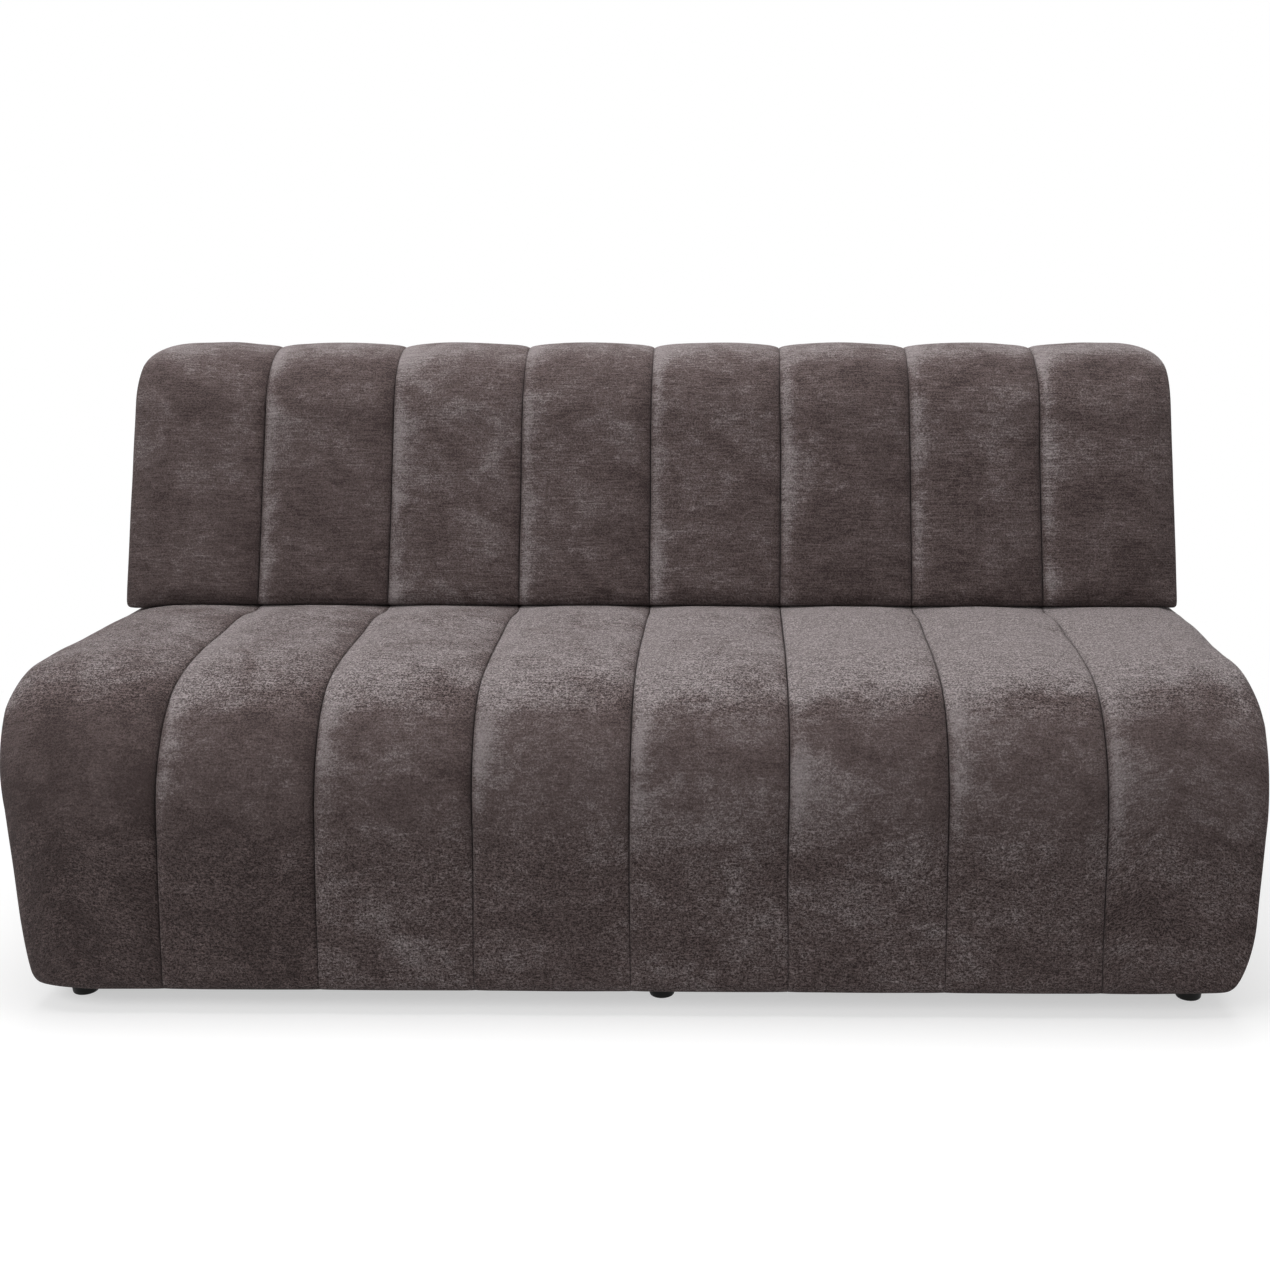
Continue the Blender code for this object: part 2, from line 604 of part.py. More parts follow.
# Frame
def make_base_frame():
    width = (-FRAME_END, FRAME_END)
    front = (RAIL_FRONT, RAIL_BACK)
    rear = (REAR_RAIL_FRONT, REAR_RAIL_BACK)
    low = (FRAME_BOTTOM, FRAME_BOTTOM + RAIL_HEIGHT)
    high = (RAIL_TOP - RAIL_HEIGHT, RAIL_TOP)
    rails = {
        "front_bottom_rail": box("front_bottom_rail", width, front, low, TIMBER),
        "rear_bottom_rail": box("rear_bottom_rail", width, rear, low, TIMBER),
        "front_top_rail": box("front_top_rail", width, front, high, TIMBER),
        "rear_top_rail": box("rear_top_rail", width, rear, high, TIMBER),
    }
    between = (RAIL_BACK + CLEARANCE, REAR_RAIL_FRONT - CLEARANCE)
    panel_height = (FRAME_BOTTOM, PAD_BOTTOM - CLEARANCE)
    box("base_left_panel", (-FRAME_END, PANEL - FRAME_END), between, panel_height, PLYWOOD)
    box("base_right_panel", (FRAME_END - PANEL, FRAME_END), between, panel_height, PLYWOOD)
    rib_height = (FRAME_BOTTOM, RAIL_TOP - RIB_DROP)
    rib_side = -SCREW_HEAD_RADIUS - RIB_ASIDE
    box("base_centre_rib", (rib_side - PANEL, rib_side), between, rib_height, PLYWOOD)
    board = (RAIL_FRONT - CLEARANCE - BOARD, RAIL_FRONT - CLEARANCE)
    board_height = (FRAME_BOTTOM, min(ROLL_CENTRE_Z, RAIL_TOP))
    box("front_board", width, board, board_height, PLYWOOD)
    return rails


def post_outline():
    """Upright inside the base, raked above it, with a notch behind for the lower rail."""
    top = TOP_INNER - 2 * CLEARANCE - TOP_RAIL_HEIGHT
    notch_low = SEAT_HEIGHT + LOWER_RAIL_LIFT - CLEARANCE
    notch_high = notch_low + LOWER_RAIL_HEIGHT + 2 * CLEARANCE
    notch = POST_REAR - LOWER_RAIL_DEPTH - CLEARANCE
    corners = [
        (POST_FRONT, FRAME_BOTTOM),
        (POST_REAR, FRAME_BOTTOM),
        (POST_REAR, BACK_BOTTOM),
        (POST_REAR, notch_low),
        (notch, notch_low),
        (notch, notch_high),
        (POST_REAR, notch_high),
        (POST_REAR, top),
        (POST_FRONT, top),
        (POST_FRONT, BACK_BOTTOM),
    ]
    return [(y + lean(z), z) for y, z in corners]


def post_places():
    end = FRAME_END - PANEL - POST_WIDTH / 2
    return (("left", -end), ("centre", 0.0), ("right", end))


def make_back_frame():
    posts = {}
    for place, x in post_places():
        name = f"back_{place}_post"
        width = (x - POST_WIDTH / 2, x + POST_WIDTH / 2)
        posts[place] = plate(name, post_outline(), width, PLYWOOD)
    width = (-FRAME_END, FRAME_END)
    low = SEAT_HEIGHT + LOWER_RAIL_LIFT
    outline = raked_outline(POST_REAR - LOWER_RAIL_DEPTH, POST_REAR, low, low + LOWER_RAIL_HEIGHT)
    plate("back_lower_rail", outline, width, TIMBER)
    top = TOP_INNER - CLEARANCE
    bottom = top - TOP_RAIL_HEIGHT
    outline = [(POST_FRONT + lean(bottom), bottom), (POST_REAR + lean(bottom), bottom)]
    for step in range(BACK_ARC_STEPS + 1):
        angle = mix(math.pi + BACK_RAKE, math.pi / 2, step / BACK_ARC_STEPS)
        outline.append(along(REAR_INNER_CENTRE, BACK_EDGE_RADIUS, angle))
    outline.append((POST_FRONT + lean(top), top))
    plate("back_top_rail", outline, width, TIMBER)
    outline = raked_outline(FACE_BOARD_FRONT, FACE_BOARD_REAR, BACK_BOTTOM, top)
    plate("back_face_board", outline, width, PLYWOOD)
    return posts


def make_springs():
    """Zigzag springs from the front rail to the rear one, side by side between the panels."""
    pitch = 2 * (FRAME_END - PANEL) / SPRING_COUNT
    first = (RAIL_FRONT + RAIL_BACK) / 2
    last = (REAR_RAIL_FRONT + REAR_RAIL_BACK) / 2
    step = (last - first) / (SPRING_BARS - 1)
    straight = SPRING_WIDTH / 2 - SPRING_WIRE / 2 - SPRING_BEND
    for index in range(SPRING_COUNT):
        name = f"seat_spring_{index + 1}"
        points = []
        for bar in range(SPRING_BARS):
            y = first + step * bar
            side = 1 if bar % 2 else -1
            points += [(side * straight, y), (-side * straight, y)]
            if bar < SPRING_BARS - 1:
                points.append((-side * (straight + SPRING_BEND), y + step / 2))
        wire = bpy.data.curves.new(name, "CURVE")
        wire.dimensions = "3D"
        wire.bevel_depth = SPRING_WIRE / 2
        wire.bevel_resolution = 0
        wire.use_fill_caps = True
        spline = wire.splines.new("POLY")
        spline.points.add(len(points) - 1)
        for point, (x, y) in zip(spline.points, points):
            point.co = (x, y, 0.0, 1.0)
        x = (index - (SPRING_COUNT - 1) / 2) * pitch
        add_piece(name, wire, STEEL, (x, 0.0, SPRING_HEIGHT))


# Feet and screws
def foot_places():
    end = FRAME_END - FOOT_INSET
    columns = (("left", -end), ("middle", MIDDLE_FOOT_X), ("right", end))
    rows = (
        ("front", (RAIL_FRONT + RAIL_BACK) / 2 + FOOT_SET_BACK),
        ("rear", (REAR_RAIL_FRONT + REAR_RAIL_BACK) / 2 + FOOT_SET_BACK),
    )
    return [(f"foot_{row}_{column}", x, y) for row, y in rows for column, x in columns]


def make_feet(rails):
    top = FOOT_HEIGHT - CLEARANCE
    stem_top = FRAME_BOTTOM + STEM_LENGTH
    profile = [
        (0.0, stem_top),
        (STEM_RADIUS, stem_top),
        (STEM_RADIUS, top),
        (FOOT_RADIUS - FOOT_EDGE / 2, top),
        (FOOT_RADIUS, top - FOOT_EDGE / 2),
        (FOOT_BASE_RADIUS + FOOT_EDGE / 3, FOOT_EDGE),
        (FOOT_BASE_RADIUS, FOOT_EDGE / 3),
        (FOOT_BASE_RADIUS - FOOT_EDGE / 2, 0.0),
        (0.0, 0.0),
    ]
    mesh = profile_mesh("foot", profile, PLASTIC)
    for name, x, y in foot_places():
        turned(name, mesh, PLASTIC, (x, y, 0.0))
        rail = rails["front_bottom_rail" if "front" in name else "rear_bottom_rail"]
        start = (x, y, FRAME_BOTTOM - CLEARANCE)
        drill(rail, name + "_hole", STEM_RADIUS + CLEARANCE, start, STEM_LENGTH + 2 * CLEARANCE)


def make_back_screws(rails, posts):
    profile = [
        (0.0, SCREW_LENGTH),
        (SCREW_RADIUS / 2, SCREW_LENGTH),
        (SCREW_RADIUS, SCREW_LENGTH - SCREW_RADIUS),
        (SCREW_RADIUS, 0.0),
        (SCREW_HEAD_RADIUS, 0.0),
        (SCREW_HEAD_RADIUS, -SCREW_HEAD_HEIGHT / 2),
        (SCREW_HEAD_RADIUS / 2, -SCREW_HEAD_HEIGHT),
        (0.0, -SCREW_HEAD_HEIGHT),
    ]
    mesh = profile_mesh("back_screw", profile, STEEL)
    heights = (
        ("upper", "rear_top_rail", RAIL_TOP - RAIL_HEIGHT / 2),
        ("lower", "rear_bottom_rail", FRAME_BOTTOM + STEM_LENGTH + STEM_TO_SCREW),
    )
    for place, x in post_places():
        for level, rail, z in heights:
            name = f"back_screw_{place}_{level}"
            start = (x, REAR_RAIL_FRONT - CLEARANCE, z)
            screw = turned(name, mesh, STEEL, start)
            screw.rotation_euler.x = -math.pi / 2
            for wood in (rails[rail], posts[place]):
                label = f"{name}_{wood.name}_hole"
                length = SCREW_LENGTH + 2 * CLEARANCE
                drill(wood, label, SCREW_RADIUS + CLEARANCE, start, length, along_y=True)


REAR_STATIONS = back_stations()
DEPTH = max(seam[0] + outward[0] * crown for seam, outward, crown, *_ in REAR_STATIONS)
CARRIER.location.y = -DEPTH / 2

make_channels("seat", seat_stations())
make_channels("back", REAR_STATIONS)
for label, side in (("left", -1), ("right", 1)):
    end_pad(f"seat_{label}_end_pad", side, seat_pad_levels())
    end_pad(f"back_{label}_end_pad", side, back_pad_levels())
make_seat_foam()
make_back_foam()
make_spring_pad()
make_outer_covers()
make_dust_cover()
base_rails = make_base_frame()
back_posts = make_back_frame()
make_springs()
make_feet(base_rails)
make_back_screws(base_rails, back_posts)
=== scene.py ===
"""The looks of the dining sofa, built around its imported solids.

Metres, +Z up. The sofa faces -Y. Sections are drawn with y measured from the front of the
seat, and FRONT carries them to the frame of the solids.
"""
import json
import math
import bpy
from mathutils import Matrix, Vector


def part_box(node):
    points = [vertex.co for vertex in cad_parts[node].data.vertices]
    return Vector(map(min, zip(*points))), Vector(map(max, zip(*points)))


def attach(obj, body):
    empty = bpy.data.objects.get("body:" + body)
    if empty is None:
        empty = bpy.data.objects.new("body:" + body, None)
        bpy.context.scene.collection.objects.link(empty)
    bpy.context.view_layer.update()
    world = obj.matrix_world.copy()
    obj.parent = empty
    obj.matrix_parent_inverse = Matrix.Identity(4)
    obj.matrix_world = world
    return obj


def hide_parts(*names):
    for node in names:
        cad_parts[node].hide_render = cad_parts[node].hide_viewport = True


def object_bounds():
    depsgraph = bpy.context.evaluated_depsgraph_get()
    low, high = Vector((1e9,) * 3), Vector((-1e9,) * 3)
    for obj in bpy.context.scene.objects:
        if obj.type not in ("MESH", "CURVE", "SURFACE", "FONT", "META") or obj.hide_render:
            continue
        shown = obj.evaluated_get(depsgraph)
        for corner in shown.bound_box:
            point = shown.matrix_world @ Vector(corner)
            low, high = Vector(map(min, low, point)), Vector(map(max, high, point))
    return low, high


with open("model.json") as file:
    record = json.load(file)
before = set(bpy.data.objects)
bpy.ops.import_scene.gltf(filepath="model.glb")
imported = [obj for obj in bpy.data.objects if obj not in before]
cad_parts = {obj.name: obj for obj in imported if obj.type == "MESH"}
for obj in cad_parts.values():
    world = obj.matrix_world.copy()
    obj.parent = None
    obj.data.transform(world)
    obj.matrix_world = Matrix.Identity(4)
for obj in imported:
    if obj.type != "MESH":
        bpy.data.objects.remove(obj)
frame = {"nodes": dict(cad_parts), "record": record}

from types import SimpleNamespace

import bpy
import numpy as np

CAD_LOW, CAD_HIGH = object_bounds()
FRONT = CAD_LOW.y
QUARTER = math.pi / 2

# The solids' sizes, repeated
CHANNEL_COUNT = 8
PITCH = 0.2225
SEAT_CROWN = 0.012
PRESSED_CROWN = 0.004
PRESS_START = 0.5205
PRESS_RAMP = 0.010
ROLL_CROWN = 0.016
HEM_CROWN = 0.003
BACK_CROWN = 0.012
LIP_CROWN = 0.003
PADDING = 0.042
CLEARANCE = 0.0004
SEAM_HEIGHT = 0.483
ROLL_RADIUS = 0.1904
FRONT_SEAM = 0.016
HEM_RADIUS = 0.018
FOOT_HEIGHT = 0.032
SEAT_END = 0.6298
SEAT_FOAM_RADIUS = 0.148
SEAT_FOAM_TOP = 0.4406
BACK_FOAM = 0.050
FRAME_END = 0.8265
BACK_SEAM = 0.528
BACK_RAKE = math.radians(15.0)
BACK_BOTTOM = 0.4874
BACK_FOOT_RADIUS = 0.012
BACK_LIP = 0.035
BACK_END_RADIUS = 0.080
BACK_EDGE_DROP = 0.012
SEAM_TUCK = 0.006
TOP_SEAM_HEIGHT = 0.915
TOP_RADIUS = 0.128
FACE_ARC = 0.0604
INNER_ARC = 0.0104
POST_FRONT = 0.6302
POST_REAR = 0.6862
COVER_INNER = 0.6866
COVER_OUTER = 0.6946
BACK_HALF_WIDTH = 0.8955
TOP_CORNER_INSET = 0.029
TOP_CORNER_POWER = 3.7
TOP_CORNER_HEIGHT = 0.050
END_PAD_STEP = 0.003
ROLL_CENTRE = np.array([FRONT_SEAM + ROLL_RADIUS, SEAM_HEIGHT - ROLL_RADIUS])
FRONT_INNER = FRONT_SEAM + PADDING
BACK_INNER = BACK_SEAM + PADDING
PADDING_SQUARE = PADDING * math.cos(BACK_RAKE)
OUTER_ARC = INNER_ARC + PADDING_SQUARE
TOP_INNER = TOP_SEAM_HEIGHT - PADDING_SQUARE
BACK_TOP = TOP_SEAM_HEIGHT + BACK_CROWN
HEM_TOP = FOOT_HEIGHT + HEM_RADIUS

# The seat's ends, which the photo shows a little different left and right
ENDS = {
    -1: SimpleNamespace(
        half=0.9092, widest=0.4392, taper=0.0334, corner=0.0124, turn_power=2.89,
        rear_radius=0.1241, seat_radius=0.173, front_radius=0.097,
        rear_drop=0.0317, seat_drop=0.0243, front_drop=0.039,
    ),
    1: SimpleNamespace(
        half=0.9005, widest=0.4217, taper=0.0231, corner=0.0417, turn_power=1.0,
        rear_radius=0.0408, seat_radius=0.055, front_radius=0.16,
        rear_drop=0.016, seat_drop=0.034, front_drop=0.0059,
    ),
}
END_TAPER_POWER = 0.8
END_CORNER_HEIGHT = 0.11
END_REAR = (0.22, 0.52)  # from front to rear, where the rear values take over from the seat's

# Points along and across the channels
STEP = 0.006
HEM_STEP = 0.003
BACK_FOOT_STEP = 0.002
TOP_STEP = 0.005
REAR_STEP = 0.004
FLAT_STATIONS, FRONT_STATIONS = 70, 42
FACE_STATIONS, TOP_STATIONS, LIP_STATIONS = 54, 3, 7
ACROSS = 37
END_FLAT_POINTS, END_ROUND_POINTS = 18, 24

# Seams and padding
SEAM_GAP = 0.0009
SEAT_TOP_GAP = 0.0012
HEM_GAP = 0.0005
TOP_GAP = 0.0004
SEAM_WANDER = 0.0012
SEAT_VALLEY = 0.004  # how far a seam is pulled in under the solids' seams
BACK_VALLEY = 0.006
HEM_VALLEY = 0.2  # the share of it that is left at the hem
ROUND_POWER = 2.5  # how square a channel is across, with its seams pulled in
TOP_ROUND_POWER = 1.9
ROUND_UP = (0.4, 0.9)  # how far up outward directions point between a face and a top
LUMP = 0.0010
PUCKER = 0.0006
PUCKER_PLACE = 0.008  # from the seam, and as wide
PUCKER_STRETCH = 0.4
LEAST_FIRM = 0.1
SOFT_EDGE = 0.05  # from a seam to where lumps and swell are full
REAR_CROWN = 0.0075  # the seat's crown just in front of the back
REAR_CROWN_START = 0.43
BOW_RISE = 0.006  # the seat bows up between the back and the roll
BOW_RISE_AT = 0.42
BOW_FALL = 0.008  # and lies lower where the roll starts
BOW_FALL_AT = 0.457  # along the channel, from its rear end
BOW_REACH = 0.065
LOW_CORNER = 0.006  # rounding of the lower corners of the back
LOW_HANG = {-1: 0.010, 1: 0.005}  # how far these corners hang down beside the crown of the seat
HANG_START = {-1: 0.80, 1: 0.86}
HANG_HEIGHTS = (0.52, 0.49)
HANG_FADE = 0.005  # from the flat underside, which does not hang
PAD_SWELL = 0.004
PAD_EVEN, PAD_UNEVEN, COVER_UNEVEN = 0.8, 0.25, 0.3  # shares of a pad's swell
COVER_GAP = 0.001  # between the two covers at the rear

# Cloth simulation
SWELL = 0.28  # the share of a channel's crown that is left to the pressure in its cloth
BACK_HELD = (0.35, 0.65)  # how much less of it on the back's face, and on its top
BACK_HELD_UP = (0.5, 0.9)
HELD_END = 0.03
PAD_FREE = 0.9  # the share of a pad's swell that is left to the pressure
PRESSURE = 4.0
CLOTH_FRAMES = 20
CLOTH_QUALITY = 4
SEWN = 1e-5  # points that swell less than this are held

# The nap's tone on each channel, from dark to light, seat first and then back: on its front or face; on its
# top, with painted light from above and painted sheen; and how far up an outward direction points where the
# painted light starts
FACE_NAP = (
    (-0.09, 0.01, 0.15, 0.21, 0.26, 0.22, 0.21, 0.20),
    (0.16, 0.16, 0.28, 0.19, 0.21, 0.13, 0.16, 0.12),
)
TOP_TONE_AND_PAINTED_LIGHT = (
    (0.52, 0.55, 0.57, 0.69, 0.76, 0.98, 1.20, 1.20),
    (0.63, 0.58, 0.58, 0.62, 0.58, 0.61, 0.63, 0.68),
)
PAINTED_LIGHT_START = (
    (0.755, 0.685, 0.66, 0.68, 0.71, 0.785, 0.81, 0.835),
    (0.83, 0.81, 0.80, 0.85, 0.79, 0.81, 0.84, 0.78),
)
PAINTED_LIGHT_RANGE = 0.20
PAINTED_LIGHT_TILT = 0.08
PAINTED_LIGHT_ARCH = (0.03, 0.13)
PAINTED_LIGHT_WANDER = 0.035
FRONT_FALL = (0.10, 0.09, -0.06, 0.14, 0.10, -0.01, 0.09, 0.15)  # darker at the foot of the front
FRONT_FALL_HEIGHTS = (0.34, 0.10)
BACK_FOOT_PAINTED_SHADE = 0.13  # painted shade: darker at the foot of the back, beside the seat
BACK_FOOT_SHADE_HEIGHTS = (0.74, 0.50)
DIP_PAINTED_SHADE = 0.09  # painted shade, darker under the painted lighter top of the back, between these outward directions
DIP_FROM = (0.35, 0.60)
DIP_TO = (0.92, 0.72)

# Painted sheen on the flank left of each crown, and painted shade at the seam right of it, on the seat and
# the back
FLANK_PAINTED_SHEEN = (0.54, 0.56)
FLANK_PLACE = 0.010  # from the seam
FLANK_RISE = 0.007
FLANK_POWER = 1.3
SEAT_FLANK_REACH = (0.010, 0.032)
SEAT_FLANK_HEIGHTS = (0.26, 0.44)
SEAT_FLANK_FADE = (0.20, 0.36)
BACK_FLANK_REACH = 0.014
FLANK_EVEN = 0.85
FLANK_UNEVEN = 0.35
SEAM_PAINTED_SHADE = (0.30, 0.28)
SHADE_REACH = (0.020, 0.014)
HIDDEN_NAP = 0.2
PLAIN_NAP = 0.26

# How strongly the pile is flecked, and how far its yarn curls
BACK_FLECK = 0.44
BACK_FLECK_STEP = 0.035  # from one channel to the next
BACK_CURL = 0.25
FRONT_FLECK = 0.42
ROLL_FLECK = 1.90
ROLL_FLECK_UP = (0.60, 0.92)
LOW_FLECK = 1.25
LOW_FLECK_HEIGHTS = (0.34, 0.20)
FLAT_FLECK = 2.50
FLAT_FLECK_PLACES = (0.20, 0.38)
SEAT_CURL = (0.55, 0.9)
PLAIN_FLECK = 0.8
PLAIN_CURL = 0.5

# Shortest and longest waves of uneven things
SEAM_WAVES = (0.15, 0.6)
LUMP_WAVES = (0.07, 0.22)
PUCKER_WAVES = (0.016, 0.05)
PAINTED_LIGHT_WAVES = (0.04, 0.16)
FLANK_WAVES = (0.03, 0.2)
END_PAD_WAVES = (0.08, 0.25)
COVER_WAVES = (0.12, 0.4)
FILLING_WAVES = (0.06, 0.3)
SHEET_WAVES = (0.05, 0.2)

# Where each channel lies on the cloth
CLOTH_STEP = (0.61, 0.37)
CLOTH_ROW = 1.7
ANCHOR_TENTHS = (5, 3)  # along an end channel, where its lines of points are lined up


def lean(z):
    return np.maximum(0.0, z - BACK_BOTTOM) * math.tan(BACK_RAKE)


def mix(start, end, share):
    return start + (end - start) * share


def smoothstep(low, high, value):
    share = np.clip((value - low) / (high - low), 0.0, 1.0)
    return share * share * (3.0 - 2.0 * share)


def direction(angle):
    """Unit vectors in the YZ plane: 0 points to the front, a quarter turn points up."""
    return np.stack([-np.cos(angle), np.sin(angle)], -1)


def arc(centre, radius, start, end, step=STEP, fewest=7):
    """Angles along an arc, and the points there."""
    count = max(fewest, int(abs(end - start) * radius / step) + 1)
    angle = np.linspace(start, end, count)
    return angle, centre + radius * direction(angle)


def running_length(points, axis):
    """Lengths along lines of points, each from its first point."""
    steps = np.linalg.norm(np.diff(points, axis=axis), axis=-1)
    return np.cumsum(np.insert(steps, 0, 0.0, axis=axis), axis=axis)


def waves(seed, low, high, count=9):
    """A smooth field over two lengths, about -1 to 1, made of waves of seeded headings."""
    draw = np.random.default_rng(seed)
    rate = 2 * np.pi / draw.uniform(low, high, count)
    heading = draw.uniform(0, 2 * np.pi, count)
    phase = draw.uniform(0, 2 * np.pi, count)

    def field(a, b):
        total = 0.0
        for r, h, p in zip(rate, heading, phase):
            total = total + np.sin(r * (np.cos(h) * a + np.sin(h) * b) + p)
        return total / math.sqrt(2 * count)

    return field


# Paths of the channels
class Path:
    """Stations along a channel: seam points, outward directions, crowns, inner points."""

    def __init__(self):
        self.rows = []

    def add(self, seam, outward, crown, inner, valley, turn=0.0, gap=SEAM_GAP):
        count = len(seam)
        spread = [np.broadcast_to(np.asarray(v, float), (count,)) for v in (crown, valley, turn, gap)]
        outward = np.broadcast_to(np.asarray(outward, float), (count, 2))
        self.rows.append(np.column_stack([seam, outward, inner, *spread]))

    def close(self):
        table = np.concatenate(self.rows)
        keep = np.ones(len(table), bool)
        keep[1:] = np.hypot(*np.diff(table[:, :2], axis=0).T) > 1e-5
        table = table[keep]
        self.seam, self.outward, self.inner = table[:, 0:2], table[:, 2:4], table[:, 4:6]
        self.crown, self.valley, self.turn, self.gap = np.split(table[:, 6:10], 4, axis=1)
        self.y, self.height, self.up = self.seam[:, :1], self.seam[:, 1:], self.outward[:, 1:]
        steps = np.hypot(*np.diff(self.seam, axis=0).T)
        self.length = np.concatenate([[0.0], np.cumsum(steps)])[:, None]
        self.bow = np.zeros_like(self.length)
        return self


def seat_path():
    """From under the back, over the roll, down to the hem and just under it."""
    path = Path()
    y = np.linspace(SEAT_END, ROLL_CENTRE[0], FLAT_STATIONS)
    flat = np.full_like(y, SEAM_HEIGHT)
    under = smoothstep(PRESS_START, PRESS_START + PRESS_RAMP, y)
    near_back = smoothstep(REAR_CROWN_START, PRESS_START, y)
    crown = mix(mix(SEAT_CROWN, REAR_CROWN, near_back), PRESSED_CROWN, under)
    valley = SEAT_VALLEY * (1 - under)
    inner = np.column_stack([y, flat - PADDING])
    path.add(np.column_stack([y, flat]), (0, 1), crown, inner, valley, 0.0, SEAT_TOP_GAP)
    angle, seam = arc(ROLL_CENTRE, ROLL_RADIUS, QUARTER, 0.0)
    share = 1 - angle / QUARTER
    inner = ROLL_CENTRE + (ROLL_RADIUS - PADDING) * direction(angle)
    crown, gap = mix(SEAT_CROWN, ROLL_CROWN, share), mix(SEAT_TOP_GAP, SEAM_GAP, share)
    path.add(seam, direction(angle), crown, inner, SEAT_VALLEY, share, gap)
    z = np.linspace(ROLL_CENTRE[1], HEM_TOP, FRONT_STATIONS)
    fall = (ROLL_CENTRE[1] - z) / (ROLL_CENTRE[1] - HEM_TOP)
    seam = np.column_stack([np.full_like(z, FRONT_SEAM), z])
    inner = np.column_stack([np.full_like(z, FRONT_INNER), z])
    crown, gap = mix(ROLL_CROWN, HEM_CROWN, fall), mix(SEAM_GAP, HEM_GAP, np.sqrt(fall))
    path.add(seam, (-1, 0), crown, inner, SEAT_VALLEY * mix(1.0, HEM_VALLEY, fall), 1.0, gap)
    angle, seam = arc(np.array([FRONT_SEAM + HEM_RADIUS, HEM_TOP]), HEM_RADIUS, 0.0, -QUARTER, HEM_STEP)
    share = -angle / QUARTER
    inner = np.column_stack([np.full_like(angle, FRONT_INNER), mix(HEM_TOP, FOOT_HEIGHT, share)])
    crown, valley = HEM_CROWN * (1 - share), HEM_VALLEY * SEAT_VALLEY * (1 - share)
    path.add(seam, direction(angle), crown, inner, valley, 1.0, HEM_GAP)
    path.close()
    rise = np.exp(-(((SEAT_END - BOW_RISE_AT) - path.length) / BOW_REACH) ** 2)
    fall = np.exp(-((BOW_FALL_AT - path.length) / BOW_REACH) ** 2)
    path.bow = BOW_RISE * rise - BOW_FALL * fall
    return path


def raked_centre(face, radius, z, side):
    """The centre, at height z, of an arc that touches a raked face from inside."""
    touch = z + side * radius * math.sin(BACK_RAKE)
    return np.array([face + float(lean(touch)) + side * radius * math.cos(BACK_RAKE), z])


FRONT_ARC = raked_centre(BACK_SEAM, TOP_RADIUS, TOP_SEAM_HEIGHT - TOP_RADIUS, 1)
FRONT_INNER_ARC = raked_centre(BACK_INNER, FACE_ARC, TOP_INNER - FACE_ARC, 1)
REAR_ARC = raked_centre(COVER_OUTER, OUTER_ARC, TOP_SEAM_HEIGHT - OUTER_ARC, -1)
REAR_INNER = raked_centre(COVER_INNER, INNER_ARC, TOP_INNER - INNER_ARC, -1)
LIP_END = REAR_ARC[1] + OUTER_ARC * math.sin(math.pi + BACK_RAKE) - BACK_LIP


def back_path():
    """From under the face, up it, over the top and down the lip behind."""
    path = Path()
    face = direction(np.array(BACK_RAKE))
    foot = raked_centre(BACK_SEAM, BACK_FOOT_RADIUS, BACK_BOTTOM + BACK_FOOT_RADIUS, 1)
    angle, seam = arc(foot, BACK_FOOT_RADIUS, -QUARTER, BACK_RAKE, BACK_FOOT_STEP)
    share = (angle + QUARTER) / (BACK_RAKE + QUARTER)
    z = mix(BACK_BOTTOM, seam[-1, 1], share)
    inner = np.column_stack([BACK_INNER + lean(z), z])
    path.add(seam, direction(angle), BACK_CROWN * share ** 2, inner, BACK_VALLEY * share ** 2)
    z = np.linspace(seam[-1, 1], FRONT_ARC[1] + TOP_RADIUS * math.sin(BACK_RAKE), FACE_STATIONS)
    seam = np.column_stack([BACK_SEAM + lean(z), z])
    path.add(seam, face, BACK_CROWN, seam - PADDING_SQUARE * face, BACK_VALLEY)
    angle, seam = arc(FRONT_ARC, TOP_RADIUS, BACK_RAKE, QUARTER, TOP_STEP)
    inner = FRONT_INNER_ARC + FACE_ARC * direction(angle)
    share = (angle - BACK_RAKE) / (QUARTER - BACK_RAKE)
    gap = mix(SEAM_GAP, TOP_GAP, share)
    path.add(seam, direction(angle), BACK_CROWN, inner, BACK_VALLEY * (1 - share), 0.0, gap)
    y = np.linspace(FRONT_ARC[0], REAR_ARC[0], TOP_STATIONS)
    inner_y = np.linspace(FRONT_INNER_ARC[0], REAR_INNER[0], TOP_STATIONS)
    seam = np.column_stack([y, np.full_like(y, TOP_SEAM_HEIGHT)])
    inner = np.column_stack([inner_y, np.full_like(y, TOP_INNER)])
    path.add(seam, (0, 1), BACK_CROWN, inner, 0.0, 0.0, TOP_GAP)
    angle, seam = arc(REAR_ARC, OUTER_ARC, QUARTER, math.pi + BACK_RAKE, REAR_STEP)
    share = (angle - QUARTER) / (QUARTER + BACK_RAKE)
    inner = REAR_INNER + INNER_ARC * direction(angle)
    path.add(seam, direction(angle), mix(BACK_CROWN, LIP_CROWN, share), inner, 0.0, 0.0, TOP_GAP)
    z = np.linspace(seam[-1, 1], LIP_END, LIP_STATIONS)
    seam = np.column_stack([COVER_OUTER + lean(z), z])
    inner = np.column_stack([COVER_INNER + lean(z), z])
    level = np.linspace(BACK_RAKE, 0.0, LIP_STATIONS)
    path.add(seam, direction(math.pi + level), LIP_CROWN, inner, 0.0, 0.0, TOP_GAP)
    return path.close()


def seat_half_width(z, side):
    """Half the seat's width at a height, on one side."""
    end = ENDS[side]
    fall = np.maximum(0.0, end.widest - z) / (end.widest - FOOT_HEIGHT)
    corner = np.maximum(0.0, FOOT_HEIGHT + END_CORNER_HEIGHT - z) / END_CORNER_HEIGHT
    rounding = 1 - np.sqrt(np.maximum(0.0, 1 - np.minimum(corner, 1.0) ** 2))
    return end.half - end.taper * fall ** END_TAPER_POWER - end.corner * rounding


